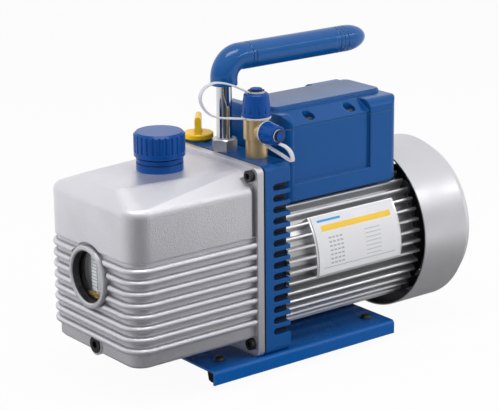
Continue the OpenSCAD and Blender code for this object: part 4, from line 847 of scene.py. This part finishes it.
@dataclass(frozen=True)
class Softbox:
    """Rectangular lamp that faces the object; glossy surfaces show it only if it is mirrored."""

    name: str
    stand: Point
    size: Span
    watts: float
    mirrored: bool

    def build(self, target: Vector) -> None:
        """Makes the lamp and turns it to a target.

        Args:
            target: Point that it faces.
        """
        data = bpy.data.lights.new(self.name, "AREA")
        data.shape = "RECTANGLE"
        data.size, data.size_y = self.size
        data.energy = self.watts
        made = placed(self.name, data)
        made.visible_glossy = self.mirrored
        made.location = self.stand
        made.rotation_euler = (target - Vector(self.stand)).to_track_quat("-Z", "Y").to_euler()


@dataclass
class Studio:
    """Camera, lamps, pale floor and the shaded card that stands for the unlit part of the studio.

    The flag's turns are degrees from the camera's direction, seen from above.
    """

    eye: Point = (-0.8739, -1.1150, 0.5372)
    target: Point = (-0.0144, 0.0, 0.1181)
    roll: float = math.radians(-0.553)
    lens: float = 134.56
    sensor: float = 36.0
    ambient: float = 0.28
    dusk: float = 0.4
    dusk_side: Span = (-0.3, 0.3)
    dusk_heights: Span = (0.1, 0.85)
    floor_half: float = 6.0
    floor_matt: Colour = (0.88, 0.88, 0.89)
    floor_glow: float = 0.95
    card_half: float = 2.0
    card_points: int = 161
    card_lift: float = 0.5 * MM
    card_fade: float = 0.4
    card_dark: float = 0.22
    flag_turns: tuple = (-110.0, -60.0, -22.0, 10.0, 40.0, 71.0, 105.0, 135.0)
    flag_levels: tuple = (1.0, 0.85, 0.15, 0.03, 0.25, 0.95, 1.0, 1.0)
    lamps: tuple[Softbox, ...] = (
        Softbox("left_softbox", (-1.2, 0.6, 0.6), (0.9, 1.1), watts=8.5, mirrored=False),
        Softbox("right_softbox", (0.95, -1.05, 0.7), (0.9, 1.1), watts=7.5, mirrored=False),
        Softbox("right_strip", (0.9, -1.05, 0.9), (1.2, 0.08), watts=2.0, mirrored=True),
        Softbox("top_softbox", (-0.15, -0.25, 1.35), (0.9, 0.35), watts=6.5, mirrored=True),
    )

    def build(self) -> None:
        """Makes everything round the object."""
        self.camera()
        self.world()
        self.floor()
        self.card()
        for lamp in self.lamps:
            lamp.build(Vector(self.target))
        bpy.context.scene.view_settings.view_transform = "Standard"

    def camera(self) -> None:
        """Sets the camera at the photograph's viewing angle, rolled a little about its own axis."""
        data = bpy.data.cameras.new("camera")
        data.lens = self.lens
        data.sensor_width = self.sensor
        data.sensor_fit = "HORIZONTAL"
        made = placed("camera", data)
        ahead = (Vector(self.target) - Vector(self.eye)).normalized()
        right = ahead.cross(Vector((0, 0, 1))).normalized()
        up = right.cross(ahead)
        tilted = math.cos(self.roll) * right + math.sin(self.roll) * up
        turn = Matrix((tilted, tilted.cross(ahead), -ahead)).transposed()
        made.matrix_world = Matrix.Translation(self.eye) @ turn.to_4x4()
        bpy.context.scene.camera = made

    @staticmethod
    def seen(w: Wiring) -> tuple[Socket, Socket]:
        """Tells apart the rays that show the background.

        Args:
            w: Wiring of the world or of a stage material.

        Returns:
            1 for rays from the camera and through glass, and 1 for rays from glossy surfaces.
        """
        path = w.add("LightPath")
        direct = w.math("MAXIMUM", path.outputs["Is Camera Ray"], path.outputs["Is Transmission Ray"])
        return direct, path.outputs["Is Glossy Ray"]

    def world(self) -> None:
        """White where it is seen, and soft even light elsewhere.

        In glossy surfaces it is white overhead and beyond the object, and darker low on the camera's side.
        """
        world = bpy.data.worlds.new("studio")
        world.use_nodes = True
        w = Wiring(world.node_tree)
        direct, glossy = self.seen(w)
        ray = w.add("TexCoord").outputs["Generated"]
        towards = Vector((*self.eye[:2], 0)).normalized()
        near = w.add("VectorMath", {0: ray, 1: towards}, operation="DOT_PRODUCT").outputs["Value"]
        side = w.ramp(near, self.dusk_side)
        height = w.add("SeparateXYZ", {0: ray}).outputs["Z"]
        climb = w.ramp(height, self.dusk_heights, (self.dusk, 1.0))
        shade = w.math("ADD", w.math("SUBTRACT", 1.0, side), w.times(side, climb))
        shown = w.math("MAXIMUM", direct, w.times(glossy, shade))
        soft = w.times(w.math("SUBTRACT", 1.0, glossy), self.ambient)
        light = w.add("Background", {"Color": WHITE, "Strength": w.math("MAXIMUM", shown, soft)})
        w.add("OutputWorld", {"Surface": light.outputs[0]})
        bpy.context.scene.world = world

    @staticmethod
    def sheet(name: str, points: list, faces: list) -> tuple[bpy.types.Object, Wiring]:
        """Makes a flat object of the stage.

        Args:
            name: Name of the object and its material.
            points: Its points.
            faces: Its faces.

        Returns:
            The object, and the wiring of its empty material.
        """
        mesh = bpy.data.meshes.new(name)
        mesh.from_pydata(points, [], faces)
        made = placed(name, mesh)
        material = bpy.data.materials.new(name)
        material.use_nodes = True
        paint(made, material)
        return made, Wiring(material.node_tree)

    def floor(self) -> None:
        """Makes a pale floor that shows nearly white and keeps a soft shadow."""
        h = self.floor_half
        _, w = self.sheet("floor", [(-h, -h, 0), (h, -h, 0), (h, h, 0), (-h, h, 0)], [(0, 1, 2, 3)])
        matt = w.add("BsdfDiffuse", {"Color": self.floor_matt})
        glow = w.add("Emission", {"Color": WHITE, "Strength": 1.0})
        share = w.ramp(w.math("MAXIMUM", *self.seen(w)), end=(0.0, self.floor_glow))
        both = w.add("MixShader", {0: share, 1: matt.outputs[0], 2: glow.outputs[0]})
        w.add("OutputMaterial", {"Surface": both.outputs[0]})

    def card(self) -> None:
        """Makes a shaded card on the floor, seen only in glossy surfaces.

        Its brightness rises from dark beside the object to white away from it, by a smooth step of the
        distance from the object's box. Towards the camera a flag takes light away, by the turn from the
        camera's direction.
        """
        low, high = CAD_BOX
        line = np.linspace(-self.card_half, self.card_half, self.card_points)
        x, y = np.meshgrid(line, line, indexing="ij")
        apart_x = np.maximum(np.maximum(low.x - x, x - high.x), 0)
        apart_y = np.maximum(np.maximum(low.y - y, y - high.y), 0)
        t = np.clip(np.hypot(apart_x, apart_y) / self.card_fade, 0, 1)
        rise = t * t * (3 - 2 * t)
        facing = math.degrees(math.atan2(self.eye[1], self.eye[0]))
        turn = (np.degrees(np.arctan2(y, x)) - facing + 180) % 360 - 180
        lit = np.interp(turn, self.flag_turns, self.flag_levels)
        shade = lit * (self.card_dark + (1 - self.card_dark) * rise)
        points = np.stack([x, y, np.full_like(x, self.card_lift)], axis=-1).reshape(-1, 3)
        number = np.arange(x.size).reshape(x.shape)
        corners = [number[:-1, :-1], number[1:, :-1], number[1:, 1:], number[:-1, 1:]]
        faces = np.stack(corners, axis=-1).reshape(-1, 4)
        made, w = self.sheet("shaded_card", points.tolist(), faces.tolist())
        made.data.attributes.new("shade", "FLOAT", "POINT").data.foreach_set("value", shade.ravel())
        level = w.add("Attribute", attribute_name="shade").outputs["Fac"]
        glow = w.add("Emission", {"Color": WHITE, "Strength": level})
        w.add("OutputMaterial", {"Surface": glow.outputs[0]})
        made.visible_camera = False
        made.visible_diffuse = False
        made.visible_shadow = False
        made.visible_transmission = False


class SubAssembly:
    """Pieces of the object that belong together."""

    def build(self) -> None:
        """Makes the pieces that the solids lack; most sub-assemblies have none."""

    def dress(self) -> None:
        """Puts a finish on every piece."""
        raise NotImplementedError


@dataclass
class Tether:
    """Flat moulded strap from a ring round a port's neck to a ring round the cap's button.

    The route's points are millimetres from the strap's start. The port's size scales the ring and the bend.
    """

    name: str
    node: str
    lift: str
    neck: np.ndarray
    outward: np.ndarray
    start: np.ndarray
    wide: Point
    route: Sequence[Point]
    size: float = 1.0
    width: float = 3.6 * MM
    thickness: float = 1.4 * MM
    soft_share: float = 0.42
    path_steps: int = 14
    ring_inner: float = 7.1 * MM
    ring_outer: float = 11.4 * MM
    ring_gap: float = 0.2 * MM
    ring_thickness: float = 1.8 * MM
    ring_soft: float = 0.6 * MM
    ring_steps: int = 64
    bend_from: float = 3 * MM
    bend_to: float = 19 * MM

    def build(self) -> bpy.types.Object:
        """Makes the strap with its neck ring.

        Returns:
            The strap.
        """
        path = smooth_path(np.asarray(self.route, float) * MM, self.path_steps) + self.start
        section = rounded_bar(self.width, self.thickness, self.soft_share * self.thickness)
        made = piece(self.name, *joined(swept(path, section, self.wide), self.ring()), STRAP_NATURAL)
        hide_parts(self.node)
        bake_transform(made)
        return made

    def ring(self) -> Mesh:
        """Turns the neck ring about Z, then takes +Z to the port's outward direction.

        Returns:
            Points and faces of the ring.
        """
        middle = [(self.ring_inner + self.ring_outer) / 2, self.ring_gap + self.ring_thickness / 2]
        rim = rounded_bar(self.ring_outer - self.ring_inner, self.ring_thickness, self.ring_soft)
        points, faces = lathe(rim + np.array(middle), self.ring_steps)
        stance = Vector((0, 0, 1)).rotation_difference(Vector(self.outward)).to_matrix()
        return self.size * points @ np.array(stance).T + self.neck, faces


@dataclass
class InletTee(SubAssembly):
    """Brass tee with two capped flare ports and their tethers."""

    top_route: Sequence[Point] = (
        (0.5, 0, 0), (-11, 0, 2), (-25.5, 0, 5), (-34.5, 0, 9.5), (-40.5, 0, 16.5), (-42, 0, 23),
        (-39, 0, 28.5), (-32, 0, 31.5), (-25, 0, 31.5), (-13, 0, 28), (3.2, 0, 19.9))
    side_route: Sequence[Point] = (
        (0, 0, 0), (0, -0.2, -2.2), (0.8, -4, -3.8), (3.2, -14, -7.4), (5, -23.5, -10.6),
        (5.5, -24.4, -8), (4, -23.4, -3), (2, -20, 0.4), (0, -15.8, 2))
    side_size: float = 0.77
    cap_from: float = 2.2 * MM
    ring_middle: float = 1.1 * MM
    strap_root: float = 1 * MM
    face_depth: float = 0.3 * MM

    def build(self) -> None:
        """Makes both tethers, each from the neck just behind its cap."""
        low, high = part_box("top_cap")
        middle = (low + high) / 2
        neck = np.array([middle.x, middle.y, low.z - self.cap_from])
        hold = Tether.ring_outer - self.strap_root
        Tether("top_tether_strap", "top_tether", "top_cap_lift", neck=neck, outward=np.array([0.0, 0.0, 1.0]),
               start=neck + [-hold, 0, self.ring_middle], wide=(0, 1, 0), route=self.top_route).build()
        low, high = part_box("side_cap")
        middle = (low + high) / 2
        size = self.side_size
        neck = np.array([middle.x, high.y + size * self.cap_from, middle.z])
        hold = size * Tether.ring_outer - self.strap_root
        Tether("side_tether_strap", "side_tether", "side_cap_lift", neck=neck,
               outward=np.array([0.0, -1.0, 0.0]), start=neck + [0, -size * self.ring_middle, -hold],
               wide=(1, 0, 0), route=self.side_route, size=size).build()

    def dress(self) -> None:
        """Puts the finishes on the tee, caps and rings."""
        BRASS.on("inlet_fitting")
        BLUE_CAP.on("top_cap", "side_cap")
        look = {"colour": STRAP_NATURAL.colour, "edge": 0.2 * MM, "wear_and_highlight": 0.0}
        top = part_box("top_cap_ring")[1].z - self.face_depth
        CapRing("top_ring", axis=2, face_at=top, **look).on("top_cap_ring")
        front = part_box("side_cap_ring")[0].y + self.face_depth
        CapRing("side_ring", axis=1, outward=-1.0, face_at=front, **look).on("side_cap_ring")


@dataclass
class OilTank(SubAssembly):
    """Finned tank with its sight glass, drain and filler."""

    oil_level: float = 76.5 * MM
    oil_radius: float = 18.6 * MM
    oil_depth: float = 3.4 * MM
    oil_gap: float = 0.4 * MM
    oil_points: int = 41
    rim_width: float = 6 * MM
    well_room: float = 1 * MM
    bezel_ring: float = 4.4 * MM
    bezel_room: float = 0.5 * MM

    def build(self) -> None:
        """Makes the oil seen in the sight glass, a thick slice of a disc below its level.

        Its outline follows the disc's edge, y = r sin(a t) and z = -r cos(a t) for t from -1 to 1, where a
        is the angle at which the edge meets the level, and comes back along the level.
        """
        low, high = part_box("sight_glass")
        middle = (low + high) / 2
        level = self.oil_level - middle.z
        turn = math.acos(-level / self.oil_radius) * np.linspace(-1, 1, self.oil_points)
        edge = self.oil_radius * np.stack([np.sin(turn), -np.cos(turn)], axis=-1)
        back = edge[-2:0:-1] * [1, 0] + [0, level]
        outline = np.concatenate([edge, back]) + [middle.y, middle.z]
        front = high.x + self.oil_gap
        points = np.concatenate([np.insert(outline, 0, x, axis=1) for x in (front, front + self.oil_depth)])
        made = piece("sight_oil", points, capped(2, len(outline)), AMBER_OIL)
        made.data.shade_flat()
        made.visible_shadow = False
        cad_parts["sight_glass"].visible_shadow = False
        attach(made, "pump")

    def dress(self) -> None:
        """Puts the finishes on the tank and what is fitted to it."""
        glass_low, glass_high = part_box("sight_glass")
        glass = (glass_low + glass_high) / 2
        card_low, card_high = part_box("oil_level_plate")
        # Painted shade darkens the tank's fin valleys and the sight glass's well.
        CastTank(
            "tank_silver", (0.73, 0.72, 0.765), roughness=0.36, metallic=0.72, edge=1.4 * MM, fineness=1300,
            depth=0.26 * MM, recess_shade=0.42, rim_from=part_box("oil_tank")[1].x - self.rim_width,
            well_height=glass.z, well_radius=(glass_high.z - glass_low.z) / 2 + self.well_room,
            well_to=card_high.x).on("oil_tank")
        low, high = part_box("sight_bezel")
        # Painted shade inside the bezel.
        DarkBore(
            "bezel_metal", (0.60, 0.60, 0.63), roughness=0.34, metallic=0.7, fineness=2000,
            inside_shade=(0.05, 0.05, 0.055), axis_height=glass.z, rear=high.x + self.bezel_room,
            inner_radius=(high.z - low.z) / 2 - self.bezel_ring + self.bezel_room).on("sight_bezel")
        card = (card_low + card_high) / 2
        LevelScale("level_scale", (0.40, 0.40, 0.43), middle=card.z).on("oil_level_plate")
        FLANGE_GREY.on("flange_plate")
        RUBBER.on("tank_gasket", "sight_seal", "drain_seal", "oil_cap_seal")
        BLACK_STEEL.on("tank_screws", "drain_plug")
        CLEAR_GLASS.on("sight_glass")
        BLUE_CAP.on("oil_fill_neck", "oil_cap")


class PumpModule(SubAssembly):
    """Vane pump inside the tank, with its coupling."""

    def dress(self) -> None:
        """Puts the finishes on the pump's inner pieces."""
        PUMP_IRON.on("pump_stator", "pump_rotor", "pump_rear_plate", "pump_front_plate")
        VANE_COMPOSITE.on("vanes")
        ZINC_STEEL.on("vane_spacer", "discharge_valve", "coupling")
        BLACK_STEEL.on("pump_bolts")
        RUBBER.on("shaft_seal")


@dataclass
class Motor(SubAssembly):
    """Finned motor with its rating film, fan and spun cover."""

    shaft_height: float = 78 * MM
    film_low: float = math.radians(-7)
    film_sweep: float = math.radians(44)
    cover_wall: float = 1.6 * MM
    cover_chamfer: float = 10 * MM

    def dress(self) -> None:
        """Puts the finishes on the motor."""
        MOTOR_ALUMINIUM.on("motor_housing")
        # The end shields are black as painted shade in the gap under the fan cover.
        SHIELD_SHADE_BLACK.on("end_shields")
        ZINC_STEEL.on("bearings", "motor_shaft", "cover_screws")
        LAMINATION.on("rotor_core", "stator_core")
        COPPER.on("windings")
        # The cover standoffs are black to match the painted shade in that gap.
        BLACK_STEEL.on("motor_screws", "cover_standoffs")
        BLACK_PLASTIC.on("fan")
        low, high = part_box("fan_cover")
        # Painted shade inside the fan cover.
        DarkBore(
            "spun_cover", (0.655, 0.65, 0.68), roughness=0.36, metallic=0.75, wear_and_highlight=0.1, fineness=1800,
            depth=0.05 * MM, inside_shade=(0.06, 0.06, 0.065), axis_height=self.shaft_height,
            inner_radius=(high.y - low.y) / 2 - self.cover_wall / 2,
            rear=high.x - self.cover_chamfer).on("fan_cover")
        low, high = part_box("rating_plate")
        PrintedFilm(
            "rating_film", (0.80, 0.80, 0.825), roughness=0.38, edge=0.2 * MM, depth=0.004 * MM,
            start=low.x, length=high.x - low.x, axis_height=self.shaft_height, low_angle=self.film_low,
            sweep=self.film_sweep).on("rating_plate")


class TerminalBox(SubAssembly):
    """Blue box on the motor with its cover, switch and mains inlet."""

    def dress(self) -> None:
        """Puts the finishes on the box."""
        BOX_PLASTIC.on("terminal_box", "box_cover")
        BLACK_STEEL.on("box_screws")
        WHITE_PLASTIC.on("capacitor")
        BLACK_PLASTIC.on("switch_frame", "rocker", "power_inlet")


@dataclass
class Carriage(SubAssembly):
    """Tray with its feet, the bracket, the handle and the ballast valve."""

    bracket_wall: float = 5 * MM

    def dress(self) -> None:
        """Puts the finishes on what carries the pump."""
        PAINTED_BLUE.on("base_plate")
        low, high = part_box("bracket")
        HollowBracket(
            "bracket_blue", BLUE, roughness=0.34, specular=0.25, edge=0.7 * MM, wear_and_highlight=0.14,
            wear_and_highlight_colour=HIGHLIGHT_BLUE, fineness=900, depth=0.03 * MM, half_width=(high.y - low.y) / 2,
            wall=self.bracket_wall, under=high.z - self.bracket_wall / 2).on("bracket")
        RUBBER.on("rubber_feet")
        BLACK_STEEL.on("foot_screws")
        ZINC_STEEL.on("bracket_bolts", "handle_nut")
        GRIP_PLASTIC.on("handle_grip")
        CHROME.on("handle_post")
        BRASS.on("ballast_body")
        YELLOW_PLASTIC.on("ballast_knob")


def main() -> None:
    """Builds the studio, the new pieces and every finish."""
    logging.basicConfig(level=logging.INFO, format="%(name)s: %(message)s")
    Studio().build()
    for assembly in (InletTee(), OilTank(), PumpModule(), Motor(), TerminalBox(), Carriage()):
        assembly.build()
        assembly.dress()
        LOG.info("dressed %s", type(assembly).__name__)


if __name__ == "__main__":
    main()
